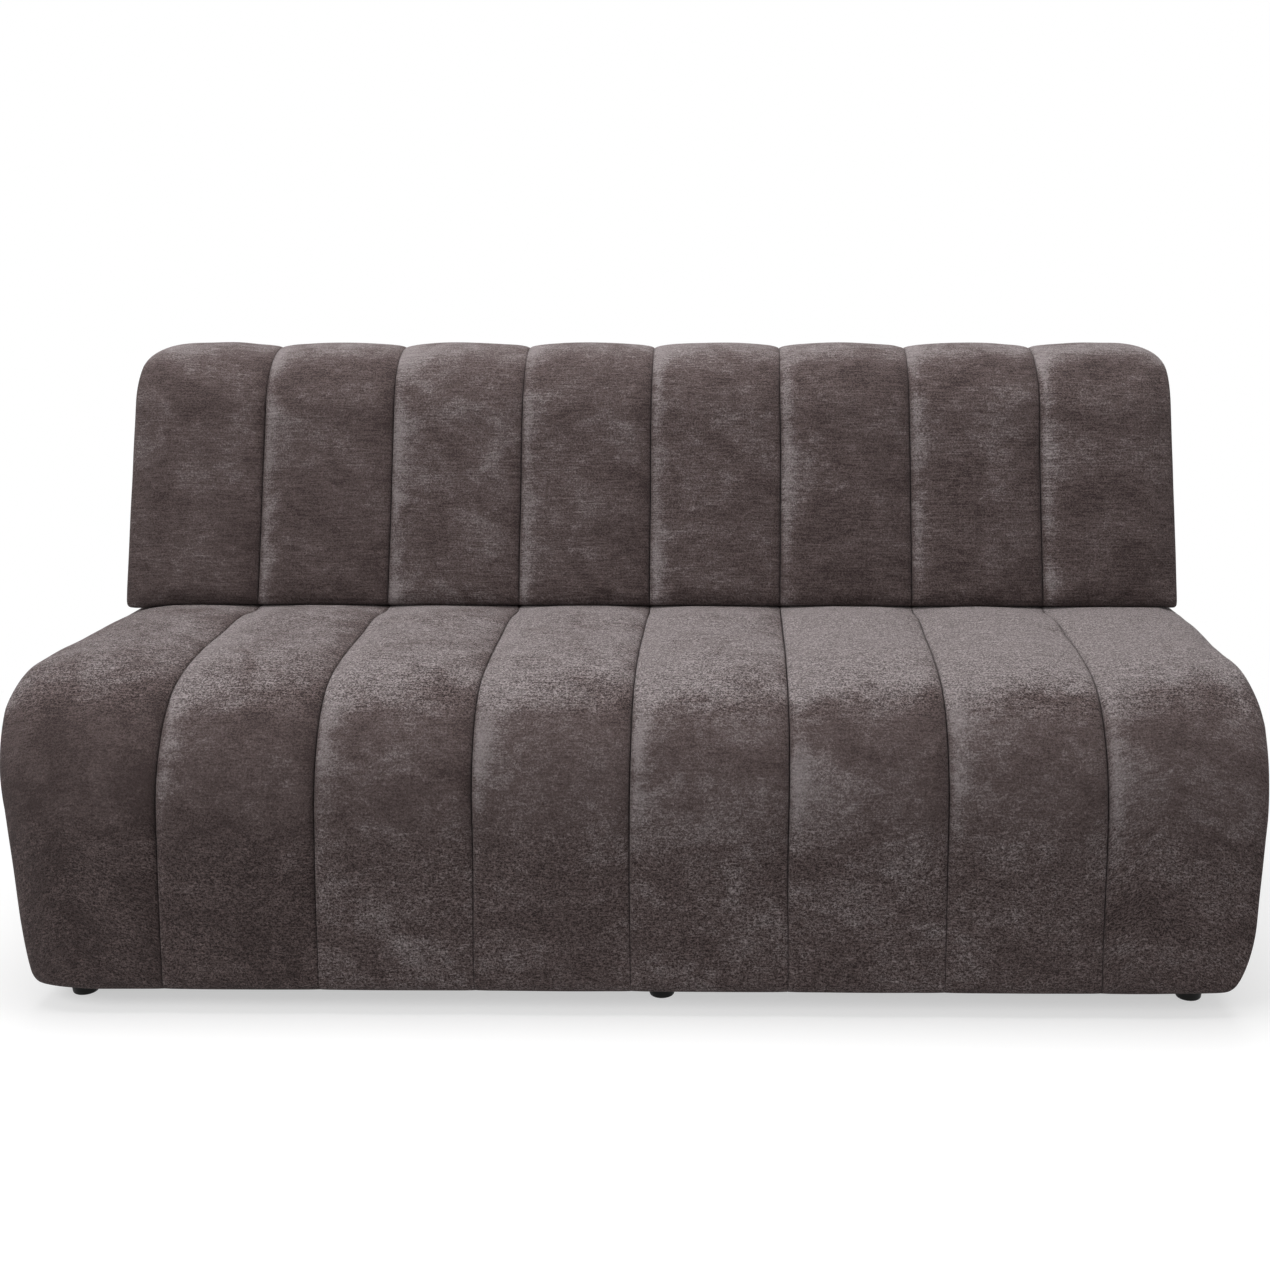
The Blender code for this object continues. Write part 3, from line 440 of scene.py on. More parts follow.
def back_half_width(z, side):
    """Half the back's width at a height, the same on both sides."""
    climb = np.maximum(0.0, z - (BACK_TOP - TOP_CORNER_HEIGHT)) / TOP_CORNER_HEIGHT
    low = np.clip((BACK_BOTTOM + LOW_CORNER - z) / LOW_CORNER, 0.0, 1.0)
    rounding = LOW_CORNER * (1 - np.sqrt(1 - low ** 2)) * (z > BACK_BOTTOM - CLEARANCE / 2)
    return BACK_HALF_WIDTH - TOP_CORNER_INSET * np.minimum(climb, 1.0) ** TOP_CORNER_POWER - rounding


# Meshes
def read(items, name, width, kind=np.float32):
    """One property of a mesh's items, as rows of numbers."""
    values = np.empty(len(items) * width, kind)
    items.foreach_get(name, values)
    return values.reshape(-1, width)


def cloth_mesh(name, grid, uv, nap_and_painted_light=PLAIN_NAP, fleck=PLAIN_FLECK, curl=PLAIN_CURL):
    """A closed tube through rings of points, with cloth coordinates in metres and its nap tone with painted
    light and shade.
    """
    count, around = grid.shape[:2]
    points = grid.reshape(-1, 3)
    here = np.arange(count * around).reshape(count, around)
    there = np.roll(here, -1, axis=1)
    quads = np.stack([here[:-1], there[:-1], there[1:], here[1:]], -1).reshape(-1, 4)
    faces = quads.tolist() + [here[0][::-1].tolist(), here[-1].tolist()]
    mesh = bpy.data.meshes.new(name)
    mesh.from_pydata(points.tolist(), [], faces)
    loops = read(mesh.loops, "vertex_index", 1, np.int32).ravel()
    layer = mesh.uv_layers.new(name="cloth")
    layer.data.foreach_set("uv", uv.reshape(-1, 2)[loops].astype(np.float32).ravel())
    # nap: the nap's own tone, with painted light and painted shade added on the channels
    for label, value in (("nap_and_painted_light", nap_and_painted_light), ("fleck", fleck), ("curl", curl)):
        numbers = np.broadcast_to(np.asarray(value, np.float32), (count, around)).ravel()
        mesh.attributes.new(label, "FLOAT", "POINT").data.foreach_set("value", numbers)
    mesh.shade_smooth()
    mesh.set_sharp_from_angle(angle=math.radians(60))
    return mesh


def facing_out(mesh):
    """Turn a closed mesh's faces outwards."""
    mesh.calc_loop_triangles()
    points = read(mesh.vertices, "co", 3, np.float64)
    corners = read(mesh.loop_triangles, "vertices", 3, np.int32)
    a, b, c = points[corners].transpose(1, 0, 2)
    if np.einsum("ij,ij->i", a, np.cross(b, c)).sum() < 0:
        mesh.flip_normals()


def place(name, mesh, finish, node):
    """Put a mesh in the scene, on the sofa's body, in the place of a solid."""
    facing_out(mesh)
    mesh.materials.append(MATERIALS[finish])
    piece = bpy.data.objects.new(name, mesh)
    bpy.context.scene.collection.objects.link(piece)
    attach(piece, "root")
    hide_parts(node)
    return piece


def cloth_uv(grid, path_length, start, anchor=None):
    """Cloth coordinates, along the section and along the path.

    With an anchor, a station's number, they follow each line of points away from that station.
    """
    u = running_length(grid, 1)
    v = np.broadcast_to(path_length, u.shape)
    if anchor is not None:
        v = running_length(grid, 0)
        v = v - v[anchor] + path_length[anchor]
    return np.stack([u + start[0], v + start[1]], -1)


# Channels. Row 0 is the seat and row 1 the back. End channels are drawn on the right, then mirrored.
def seam_wander(row, seam, length):
    """How far a seam strays from its straight line. Its two channels share it."""
    return SEAM_WANDER * waves(100 * row + seam, *SEAM_WAVES)(0.0, length)


def middle_section(path, row, index):
    """Points across a channel that lies between two others."""
    low = (index - CHANNEL_COUNT / 2) * PITCH + path.gap / 2
    high = low + PITCH - path.gap + seam_wander(row, index + 1, path.length)
    low = low + seam_wander(row, index, path.length)
    across = (1 - np.cos(np.pi * np.linspace(0, 1, ACROSS)))[None, :] / 2
    x = mix(low, high, across)
    return SimpleNamespace(
        x=x, low=low,
        fall=0.0,
        near=np.abs(2 * across - 1) + 0.0 * x,
        from_high=high - x,
        swelling=1.0, bowing=1.0,
        side_x=np.concatenate([high, high], 1),
        side_w=np.array([[-PADDING / 2, -PADDING]]) + 0.0 * low,
    )


def end_section(path, row, index, side, half_width):
    """Points across a channel at an end, with its round edge."""
    inner_seam = 1 if side < 0 else index
    low = (CHANNEL_COUNT / 2 - 1) * PITCH + path.gap / 2
    low = low + side * seam_wander(row, inner_seam, path.length)
    widest = half_width(path.height, side)
    if row:
        radius = np.full_like(widest, BACK_END_RADIUS)
        drop = np.full_like(widest, BACK_EDGE_DROP)
    else:
        end = ENDS[side]
        turn = path.turn ** end.turn_power
        rear = smoothstep(*END_REAR, path.y)
        radius = mix(mix(end.seat_radius, end.rear_radius, rear), end.front_radius, turn)
        drop = mix(mix(end.seat_drop, end.rear_drop, rear), end.front_drop, turn)
    start = 1 - np.cos(np.linspace(0, QUARTER, END_FLAT_POINTS))[None, :-1]
    angle = np.linspace(0, QUARTER, END_ROUND_POINTS)[None, :]
    x = np.concatenate([mix(low, widest - radius, start), widest - radius * (1 - np.sin(angle))], 1)
    down = np.array([[0.5, 1.0]])
    return SimpleNamespace(
        x=x, low=low,
        fall=np.concatenate([0.0 * low * start, (path.crown + drop) * (1 - np.cos(angle))], 1),
        near=np.clip(1 - (x - low) / (PITCH / 2), 0.0, 1.0),
        from_high=np.ones_like(x),
        swelling=np.concatenate([np.ones_like(start), np.cos(angle) ** 2], 1),
        bowing=smoothstep(widest, low, x),
        side_x=widest - SEAM_TUCK * down,
        side_w=-mix(drop, PADDING, down),
    )


def channel_surface(path, row, index, section):
    """Heights over the seams across a channel, and how far each point swells."""
    crown, valley, length = path.crown, path.valley, path.length
    power = mix(ROUND_POWER, TOP_ROUND_POWER, row * smoothstep(*ROUND_UP, path.up))
    rise = (1 - section.near ** power) ** (1 / power)
    from_seam = np.minimum(section.x - section.low, section.from_high)
    firm = np.clip(crown / SEAT_CROWN, LEAST_FIRM, 1.0)
    lumps = waves(7 + 31 * index + 400 * row, *LUMP_WAVES)(section.x, length)
    ripple = waves(9 + 17 * index + 500 * row, *PUCKER_WAVES)(PUCKER_STRETCH * section.x, length)
    pinch = np.exp(-((from_seam - PUCKER_PLACE) / PUCKER_PLACE) ** 2)
    soft = smoothstep(0.0, SOFT_EDGE, from_seam)
    w = -valley + (crown + valley) * rise - section.fall + path.bow * section.bowing
    w = w + firm * (LUMP * soft * lumps + PUCKER * pinch * ripple)
    swell = SWELL * (crown + valley) * soft * section.swelling
    swell = swell * smoothstep(0.0, HELD_END, np.minimum(length, length[-1] - length))
    swell = swell * (1 - row * mix(*BACK_HELD, smoothstep(*BACK_HELD_UP, path.up)))
    swell[:, (0, -1)] = 0.0
    return w, swell


def channel_nap_and_painted_light(path, row, index, section):
    """The nap's tone on a channel, with painted light on flat tops, painted sheen on the flank left of each
    crown and painted shade at the seam right of it.
    """
    x, length = section.x, path.length
    from_low, from_high = x - section.low, section.from_high
    side, left, right = (-1, from_high, from_low) if index == 0 else (1, from_low, from_high)
    seed = 13 * index + 300 * row
    across = side * (from_low / (x.max(1, keepdims=True) - section.low) - 0.5)
    # painted light from above and painted sheen on the top: where it starts, tilted, arched and wandering,
    # and top, its share
    border = PAINTED_LIGHT_START[row][index] + PAINTED_LIGHT_TILT * across - PAINTED_LIGHT_ARCH[row] * (2 * across) ** 2
    border = border + PAINTED_LIGHT_WANDER * waves(63 + seed, *PAINTED_LIGHT_WAVES)(x, length)
    top = np.clip((path.up - border) / PAINTED_LIGHT_RANGE, 0.0, 1.0)
    if row:
        # painted shade under the back's painted lighter top
        dip = DIP_PAINTED_SHADE * smoothstep(*DIP_FROM, path.up) * smoothstep(*DIP_TO, path.up)
        # painted shade at the foot of the back, beside the seat
        face = FACE_NAP[row][index] - BACK_FOOT_PAINTED_SHADE * smoothstep(*BACK_FOOT_SHADE_HEIGHTS, path.height) - dip
        reach, shown = BACK_FLANK_REACH, 1.0
    else:
        face = FACE_NAP[row][index] - FRONT_FALL[index] * smoothstep(*FRONT_FALL_HEIGHTS, path.height)
        reach = mix(*SEAT_FLANK_REACH, smoothstep(*SEAT_FLANK_HEIGHTS, path.height))
        shown = smoothstep(*SEAT_FLANK_FADE, path.height)
    reach = reach * (1 + FLANK_UNEVEN * waves(61 + seed, *FLANK_WAVES)(0.0, length))
    # painted sheen on the flank left of the crown, uneven along the seam
    before = np.exp(-((left - FLANK_PLACE) / FLANK_RISE) ** 2)
    after = np.exp(-((np.maximum(0.0, left - FLANK_PLACE) / reach) ** FLANK_POWER))
    flank = np.where(left < FLANK_PLACE, before, after)
    flank = flank * (FLANK_EVEN + FLANK_UNEVEN * waves(62 + seed, *FLANK_WAVES)(0.0, length))
    # painted shade beside the seam right of the crown
    shade = np.exp(-right / SHADE_REACH[row])
    # the face's tone gives way to the top's tone with its painted light; painted sheen and painted shade go
    # on that
    nap_and_painted_light = mix(face, TOP_TONE_AND_PAINTED_LIGHT[row][index], top)
    return nap_and_painted_light + shown * (FLANK_PAINTED_SHEEN[row] * flank - SEAM_PAINTED_SHADE[row] * shade)


def channel_yarn(path, row, index):
    """How strongly a channel's pile is flecked, and how far its yarn curls."""
    if row:
        return BACK_FLECK + BACK_FLECK_STEP * index, BACK_CURL
    low = smoothstep(*LOW_FLECK_HEIGHTS, path.height)
    fleck = mix(FRONT_FLECK, ROLL_FLECK, smoothstep(*ROLL_FLECK_UP, path.up))
    fleck = mix(fleck, LOW_FLECK, low)
    fleck = mix(fleck, FLAT_FLECK, smoothstep(*FLAT_FLECK_PLACES, path.y))
    return fleck, mix(*SEAT_CURL, low)


def channel_grid(path, row, index, half_width):
    """The rings of one channel, how far each point swells, and its nap tone with painted light and shade."""
    side = -1 if index == 0 else 1
    at_end = index in (0, CHANNEL_COUNT - 1)
    if at_end:
        section = end_section(path, row, index, side, half_width)
    else:
        section = middle_section(path, row, index)
    w, swell = channel_surface(path, row, index, section)
    nap_and_painted_light = channel_nap_and_painted_light(path, row, index, section)
    low = section.low
    x = np.concatenate([section.x, section.side_x, low, low], 1)
    w = np.concatenate([w, section.side_w, -PADDING + 0.0 * low, -PADDING / 2 + 0.0 * low], 1)
    raised, sunk = np.maximum(w, 0.0), np.maximum(-w, 0.0) / PADDING
    y, z = (
        mix(path.seam[:, k : k + 1], path.inner[:, k : k + 1], sunk) + path.outward[:, k : k + 1] * raised
        for k in (0, 1)
    )
    if row and at_end:
        hang = LOW_HANG[side] * smoothstep(HANG_START[side], BACK_HALF_WIDTH, x)
        hang = hang * smoothstep(*HANG_HEIGHTS, z)
        z = z - hang * (1 - sunk) * smoothstep(0.0, HANG_FADE, path.length)
    grid = np.stack([side * x if at_end else x, y + FRONT, z], -1)
    hidden = np.zeros((len(x), 4))
    return grid, np.concatenate([swell, hidden], 1), np.concatenate([nap_and_painted_light, hidden + HIDDEN_NAP], 1)


def make_channels():
    pieces = []
    rows = (("seat", seat_path(), seat_half_width), ("back", back_path(), back_half_width))
    for row, (label, path, half_width) in enumerate(rows):
        for index in range(CHANNEL_COUNT):
            grid, swell, nap_and_painted_light = channel_grid(path, row, index, half_width)
            start = (CLOTH_STEP[0] * index, CLOTH_ROW * row + CLOTH_STEP[1] * index)
            at_end = index in (0, CHANNEL_COUNT - 1)
            anchor = len(path.length) * ANCHOR_TENTHS[row] // 10 if at_end else None
            uv = cloth_uv(grid, path.length, start, anchor)
            node = f"{label}_channel_{index + 1}"
            mesh = cloth_mesh(node, grid, uv, nap_and_painted_light, *channel_yarn(path, row, index))
            piece = place(f"{node}_upholstery", mesh, "chenille", node)
            pieces.append((piece, swell.ravel()))
    return pieces


# Ends and covers
def pad_section(inner, outer, front, rear, edge, corner):
    """A level section of an end pad, from the front's inner corner round to the rear's."""
    turn = np.linspace(0, QUARTER, 7)
    points = [(inner, front)]
    points += list(zip(outer - edge * (1 - np.sin(turn)), front + edge * (1 - np.cos(turn))))
    along = np.linspace(front + edge, rear - corner, 50)[1:-1]
    points += list(zip(np.full_like(along, outer), along))
    points += list(zip(outer - corner * (1 - np.cos(turn)), rear - corner * (1 - np.sin(turn))))
    points.append((inner, rear))
    return np.array(points)


def end_pad(name, side, levels, seed):
    """A pad on one end, from (height, front, rear, half width, edge) levels."""
    thinnest, rear_corner, puffed_edge = 0.002, 0.016, 0.07
    inner = FRAME_END + CLEARANCE
    rings = []
    for z, front, rear, half_width, edge in levels:
        outer = max(half_width - END_PAD_STEP, inner + thinnest)
        edge = min(edge, (outer - inner) / 2)
        corner = min(rear_corner, (outer - inner) / 2)
        section = pad_section(inner, outer, front, rear, edge, corner)
        rings.append(np.column_stack([section[:, 0], section[:, 1], np.full(len(section), z)]))
    grid = np.array(rings)
    x, y, z = grid[..., 0], grid[..., 1], grid[..., 2]
    from_edge = np.minimum(y - y.min(1, keepdims=True), y.max(1, keepdims=True) - y)
    from_edge = np.minimum(from_edge, np.minimum(z - z.min(), z.max() - z))
    puff = smoothstep(0.0, puffed_edge, from_edge) * (x > inner + 2 * thinnest)
    grid[..., 0] += PAD_SWELL * puff * (PAD_EVEN + PAD_UNEVEN * waves(seed, *END_PAD_WAVES)(y, z))
    grid[..., 0] *= side
    grid[..., 1] += FRONT
    swell = PAD_FREE * PAD_SWELL * puff
    uv = np.stack([y + side * (x - 0.9), z + 0.5 * seed], -1)
    piece = place(f"{name}_upholstery", cloth_mesh(name, grid, uv), "chenille", name)
    return piece, swell.ravel()


def seat_pad_levels(side):
    """From the hem up, closer together at the round lower corner, and then along the foam's roll."""
    edge, corner, closer = 0.006, 0.09, 1.6
    low = FOOT_HEIGHT + corner * np.linspace(0, 1, 14) ** closer
    middle = np.linspace(low[-1], ROLL_CENTRE[1], 22)[1:]
    high = ROLL_CENTRE[1] + SEAT_FOAM_RADIUS * np.sin(np.linspace(0, QUARTER, 30)[1:])
    levels = []
    for z in np.concatenate([low, middle, high]):
        climb = np.clip((z - ROLL_CENTRE[1]) / SEAT_FOAM_RADIUS, 0, 1)
        front = ROLL_CENTRE[0] - SEAT_FOAM_RADIUS * math.sqrt(max(0.0, 1 - climb ** 2)) + CLEARANCE
        levels.append((z, front, COVER_OUTER, float(seat_half_width(z, side)), edge))
    return levels


def back_pad_levels(side):
    """From the foam of the seat up to the lip behind, and then inside the round top."""
    low_edge, face_edge, top_edge, apart = 0.004, 0.005, 0.004, 0.001

    def level(z, front, rear, edge):
        return z, front, rear, float(back_half_width(z, side)), edge

    levels = []
    for z in np.linspace(SEAT_FOAM_TOP + CLEARANCE, BACK_BOTTOM, 6):
        levels.append(level(z, POST_FRONT, COVER_OUTER, low_edge))
    under_lip = LIP_END - CLEARANCE
    face = BACK_INNER + CLEARANCE
    for z in np.linspace(BACK_BOTTOM + apart, under_lip - apart, 44):
        levels.append(level(z, face + float(lean(z)), COVER_OUTER + float(lean(z)), face_edge))
    tilt = float(lean(under_lip))
    levels.append(level(under_lip, face + tilt, POST_REAR + tilt, face_edge))
    radius = INNER_ARC - CLEARANCE
    for turn in np.linspace(BACK_RAKE, QUARTER, 14):
        front, z = FRONT_INNER_ARC + (FACE_ARC - CLEARANCE) * direction(np.array(turn))
        climb = np.clip((z - REAR_INNER[1]) / radius, 0, 1)
        rear = min(REAR_INNER[0] + radius * math.sqrt(1 - climb ** 2), POST_REAR + float(lean(z)))
        levels.append(level(z, front, rear, top_edge))
    return levels


def make_end_pads():
    pieces = []
    for label, side in (("left", -1), ("right", 1)):
        pieces.append(end_pad(f"seat_{label}_end_pad", side, seat_pad_levels(side), 11 + side))
        pieces.append(end_pad(f"back_{label}_end_pad", side, back_pad_levels(side), 21 + side))
    return pieces


def rear_panel(name, outline, thickness, seed):
    """A padded panel across the back of the sofa. Outline gives (y, z) up its inner side."""
    across, up, puffed_edge, thin_edge = 120, 56, 0.10, 0.35
    x = FRAME_END * np.linspace(-1, 1, across)[None, :]
    line = np.array([outline(t) for t in np.linspace(0, 1, up)])
    tangent = np.gradient(line, axis=0)
    tangent /= np.linalg.norm(tangent, axis=1)[:, None]
    normal = np.column_stack([tangent[:, 1], -tangent[:, 0]])
    length = running_length(line, 0)[:, None]
    edge = np.minimum(np.minimum(FRAME_END - np.abs(x), length), length[-1] - length)
    rounding = np.sqrt(1 - (1 - np.clip(edge / (1.5 * thickness), 0, 1)) ** 2)
    puff = smoothstep(0.0, puffed_edge, edge)
    lumps = waves(seed, *COVER_WAVES)(x, length)
    height = thickness * mix(thin_edge, 1.0, rounding) + PAD_SWELL * puff * (PAD_EVEN + COVER_UNEVEN * lumps)
    flat_x = np.broadcast_to(x, height.shape)
    outer = np.stack([flat_x, *(line[:, k : k + 1] + normal[:, k : k + 1] * height for k in (0, 1))], -1)
    inner = np.stack([flat_x, *(line[:, k : k + 1] + 0.0 * height for k in (0, 1))], -1)
    grid = np.concatenate([outer, inner[:, ::-1]], 1)
    grid[..., 1] += FRONT
    swell = np.concatenate([PAD_FREE * PAD_SWELL * puff, 0.0 * height], 1)
    uv = np.stack([grid[..., 0] + 0.2 * seed, np.broadcast_to(length, grid.shape[:2])], -1)
    piece = place(f"{name}_upholstery", cloth_mesh(name, grid, uv), "chenille", name)
    return piece, swell.ravel()


def make_covers():
    def base_line(t):
        return COVER_INNER, mix(FOOT_HEIGHT, BACK_BOTTOM - CLEARANCE, t)

    def back_line(t):
        z = mix(BACK_BOTTOM + COVER_GAP, LIP_END - CLEARANCE, t)
        return COVER_INNER + float(lean(z)), z

    thickness = COVER_OUTER - COVER_INNER
    return [
        rear_panel("base_rear_cover", base_line, thickness, 5),
        rear_panel("outside_back_cover", back_line, thickness, 6),
    ]


# Cloth simulation
def inflate(pieces):
    """Let pressure swell the free cloth of each piece, from a flatter start and within its swell."""
    scene = bpy.context.scene
    starts = []
    for piece, swell in pieces:
        mesh = piece.data
        start = read(mesh.vertices, "co", 3) - read(mesh.vertex_normals, "vector", 3) * swell[:, None]
        mesh.vertices.foreach_set("co", start.astype(np.float32).ravel())
        mesh.update()
        starts.append(start)
        pinned = piece.vertex_groups.new(name="sewn")
        pinned.add(np.flatnonzero(swell < SEWN).tolist(), 1.0, "REPLACE")
        cloth = piece.modifiers.new("cloth", "CLOTH")
        cloth.settings.quality = CLOTH_QUALITY
        cloth.settings.vertex_group_mass = "sewn"
        cloth.settings.use_pressure = True
        cloth.settings.uniform_pressure_force = PRESSURE
        cloth.settings.effector_weights.gravity = 0.0
        cloth.collision_settings.use_collision = False
        cloth.point_cache.frame_start = 1
        cloth.point_cache.frame_end = CLOTH_FRAMES
    for number in range(1, CLOTH_FRAMES + 1):
        scene.frame_set(number)
    shapes = bpy.context.evaluated_depsgraph_get()
    for (piece, swell), start in zip(pieces, starts):
        ready = piece.evaluated_get(shapes).to_mesh()
        move = read(ready.vertices, "co", 3) - start
        reach = np.linalg.norm(move, axis=1)
        move *= np.minimum(1.0, swell / np.maximum(reach, 1e-9))[:, None]
        piece.evaluated_get(shapes).to_mesh_clear()
        piece.modifiers.clear()
        piece.vertex_groups.clear()
        piece.data.vertices.foreach_set("co", (start + move).astype(np.float32).ravel())
        piece.data.update()
    scene.frame_set(1)


# Filling, dust cover and feet
OUTLINE_STEP = 0.012
FOAM = {"edge": 0.006, "hollow": 0.0012, "finish": "foam", "fill": 0.9}
FELT = {"edge": 0.002, "hollow": 0.0008, "finish": "felt", "fill": 0.4}


def rounded_outline(corners, radius):
    """A closed outline with its corners rounded, as closely spaced points."""
    corners = np.array(corners, float)
    points = []
    for before, here, after in zip(np.roll(corners, 1, 0), corners, np.roll(corners, -1, 0)):
        back, forth = before - here, after - here
        size = min(radius, 0.45 * np.linalg.norm(back), 0.45 * np.linalg.norm(forth))
        a = here + back / np.linalg.norm(back) * size
        b = here + forth / np.linalg.norm(forth) * size
        for t in np.linspace(0, 1, 5):
            points.append((1 - t) ** 2 * a + 2 * t * (1 - t) * here + t ** 2 * b)
    points = np.array(points)
    dense = []
    for here, after in zip(points, np.roll(points, -1, 0)):
        count = max(1, int(np.linalg.norm(after - here) / OUTLINE_STEP))
        dense += [mix(here, after, k / count) for k in range(count)]
    return np.array(dense)


def slab(name, corners, seed, edge, hollow, finish, fill):
    """A block of filling across the sofa: an outline in YZ with soft edges and uneven faces."""
    across, rounded = 90, 6
    outline = rounded_outline(corners, edge)
    tangent = np.roll(outline, -1, 0) - np.roll(outline, 1, 0)
    tangent /= np.linalg.norm(tangent, axis=1)[:, None]
    area = np.sum(outline[:, 0] * np.roll(outline[:, 1], -1) - np.roll(outline[:, 0], -1) * outline[:, 1])
    inward = np.column_stack([-tangent[:, 1], tangent[:, 0]]) * np.sign(area)
    turn = np.linspace(0, QUARTER, rounded)
    ends = edge * (1 - np.cos(turn))
    middle = np.linspace(edge - FRAME_END, FRAME_END - edge, across)[1:-1]
    x = np.concatenate([ends - FRAME_END, middle, FRAME_END - ends[::-1]])
    inset = np.zeros_like(x)
    inset[:rounded] = 0.9 * edge * (1 - np.sin(turn))
    inset[-rounded:] = inset[:rounded][::-1]
    along = np.arange(len(outline)) * OUTLINE_STEP
    uneven = np.clip(waves(seed, *FILLING_WAVES)(x[:, None], along[None, :]), -1, 1)
    depth = (inset[:, None] + hollow * (0.5 + 0.5 * uneven))[..., None]
    section = outline[None] + inward[None] * depth
    grid = np.concatenate([np.broadcast_to(x[:, None, None], (*section.shape[:2], 1)), section], -1)
    grid[..., 1] += FRONT
    uv = np.stack([grid[..., 0], np.broadcast_to(along, grid.shape[:2])], -1)
    return place(f"{name}_block", cloth_mesh(name, grid, uv), finish, name)


def make_filling():
    clear, inset = 0.004, 0.001  # at the lower front corner of the seat's foam
    turn = np.linspace(0, QUARTER, 16)
    roll = ROLL_CENTRE + (SEAT_FOAM_RADIUS - CLEARANCE) * direction(turn)
    (_, _, bottom), (_, _, top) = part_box("seat_foam")
    roll = roll[roll[:, 1] > bottom + clear]
    start = ROLL_CENTRE[0] - math.sqrt(SEAT_FOAM_RADIUS ** 2 - (bottom - ROLL_CENTRE[1]) ** 2)
    corners = [(start + inset, bottom), *roll, (SEAT_END, top), (SEAT_END, bottom)]
    slab("seat_foam", corners, 41, **FOAM)
    (_, front, bottom), (_, _, top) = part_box("back_foam")
    front -= FRONT
    rear = front + BACK_FOAM
    turn = np.linspace(BACK_RAKE, QUARTER, 12)
    edge = FRONT_INNER_ARC + (FACE_ARC - 2 * CLEARANCE) * direction(turn)
    corners = [(front, bottom), *edge, (rear + float(lean(top)), top), (rear, bottom)]
    slab("back_foam", corners, 42, **FOAM)
    (_, front, bottom), (_, rear, top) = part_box("spring_pad")
    front, rear = front - FRONT, rear - FRONT
    corners = [(front, bottom), (front, top), (rear, top), (rear, bottom)]
    slab("spring_pad", corners, 43, **FELT)


def make_dust_cover():
    """Thin cloth under the frame, pulled tight and stapled, with a little sag in each bay."""
    across, deep, sag, ripple, thickness = 121, 45, 0.0045, 0.0006, 0.0010
    low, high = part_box("dust_cover")
    x = np.linspace(low.x, high.x, across)[:, None]
    y = np.linspace(low.y, high.y, deep)[None, :]
    bay = np.sin(np.pi * np.clip(np.abs(x) / high.x, 0, 1)) * np.sin(np.pi * (y - low.y) / (high.y - low.y))
    down = sag * bay + ripple * bay * waves(51, *SHEET_WAVES)(x, y)
    top = np.stack(np.broadcast_arrays(x, y, high.z - CLEARANCE / 2 - down), -1)
    under = top - np.array([0.0, 0.0, thickness])
    grid = np.concatenate([top, under[:, ::-1]], 1)
    uv = grid[..., :2]
    mesh = cloth_mesh("dust_cover", grid, uv)
    piece = place("dust_cover_sheet", mesh, "nonwoven", "dust_cover")


def foot_profile(radius, height):
    """Radius and height down a foot: stem, soft upper edge, groove, taper and rounded base."""
    stem, edge, taper, base_round, base_height = 0.004, 0.002, 0.003, 0.003, 0.004
    groove = ((0.0002, 0.0240), (0.0009, 0.0234), (0.0009, 0.0224), (0.0006, 0.0218))  # depth, height
    corner = np.linspace(0, QUARTER, 6)
    top, base = FOOT_HEIGHT - CLEARANCE, radius - taper
    profile = [(stem, height), (stem, top)]
    profile += [(radius - edge * (1 - math.sin(a)), top - edge * (1 - math.cos(a))) for a in corner]
    profile += [(radius - depth, z) for depth, z in groove]
    depth, z = groove[-1]
    profile += [(mix(radius - depth, base, t), mix(z, base_height, t)) for t in (0.35, 0.7, 1.0)]
    for a in corner[1:]:
        profile.append((base - base_round * (1 - math.cos(a)), base_height - base_height * math.sin(a)))
    profile.append((stem, 0.0))
    return np.array(profile).T


def make_feet():
    """Turned plastic glides."""
    turn = np.linspace(0, 2 * np.pi, 64, endpoint=False)
    for name in [n for n in frame["nodes"] if n.startswith("foot_")]:
        low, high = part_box(name)
        x, y = (low.x + high.x) / 2, (low.y + high.y) / 2
        radius = (high.x - low.x) / 2
        r, z = (column[:, None] for column in foot_profile(radius, high.z))
        grid = np.stack([x + r * np.cos(turn), y + r * np.sin(turn), z + 0.0 * turn], -1)
        uv = np.stack(np.broadcast_arrays(turn[None, :] * radius, z), -1)
        place(f"{name}_glide", cloth_mesh(name, grid, uv), "black_plastic", name)


# Materials
def put(tree, socket, value):
    """Set a socket to a value, or link another node's socket to it."""
    if isinstance(value, bpy.types.NodeSocket):
        tree.links.new(value, socket)
    else:
        socket.default_value = value


def add_node(tree, kind, values=None, **settings):
    """A new node, with its settings and what its input sockets get."""
    node = tree.nodes.new(kind)
    for key, value in settings.items():
        setattr(node, key, value)
    for name, value in (values or {}).items():
        put(tree, node.inputs[name], value)
    return node


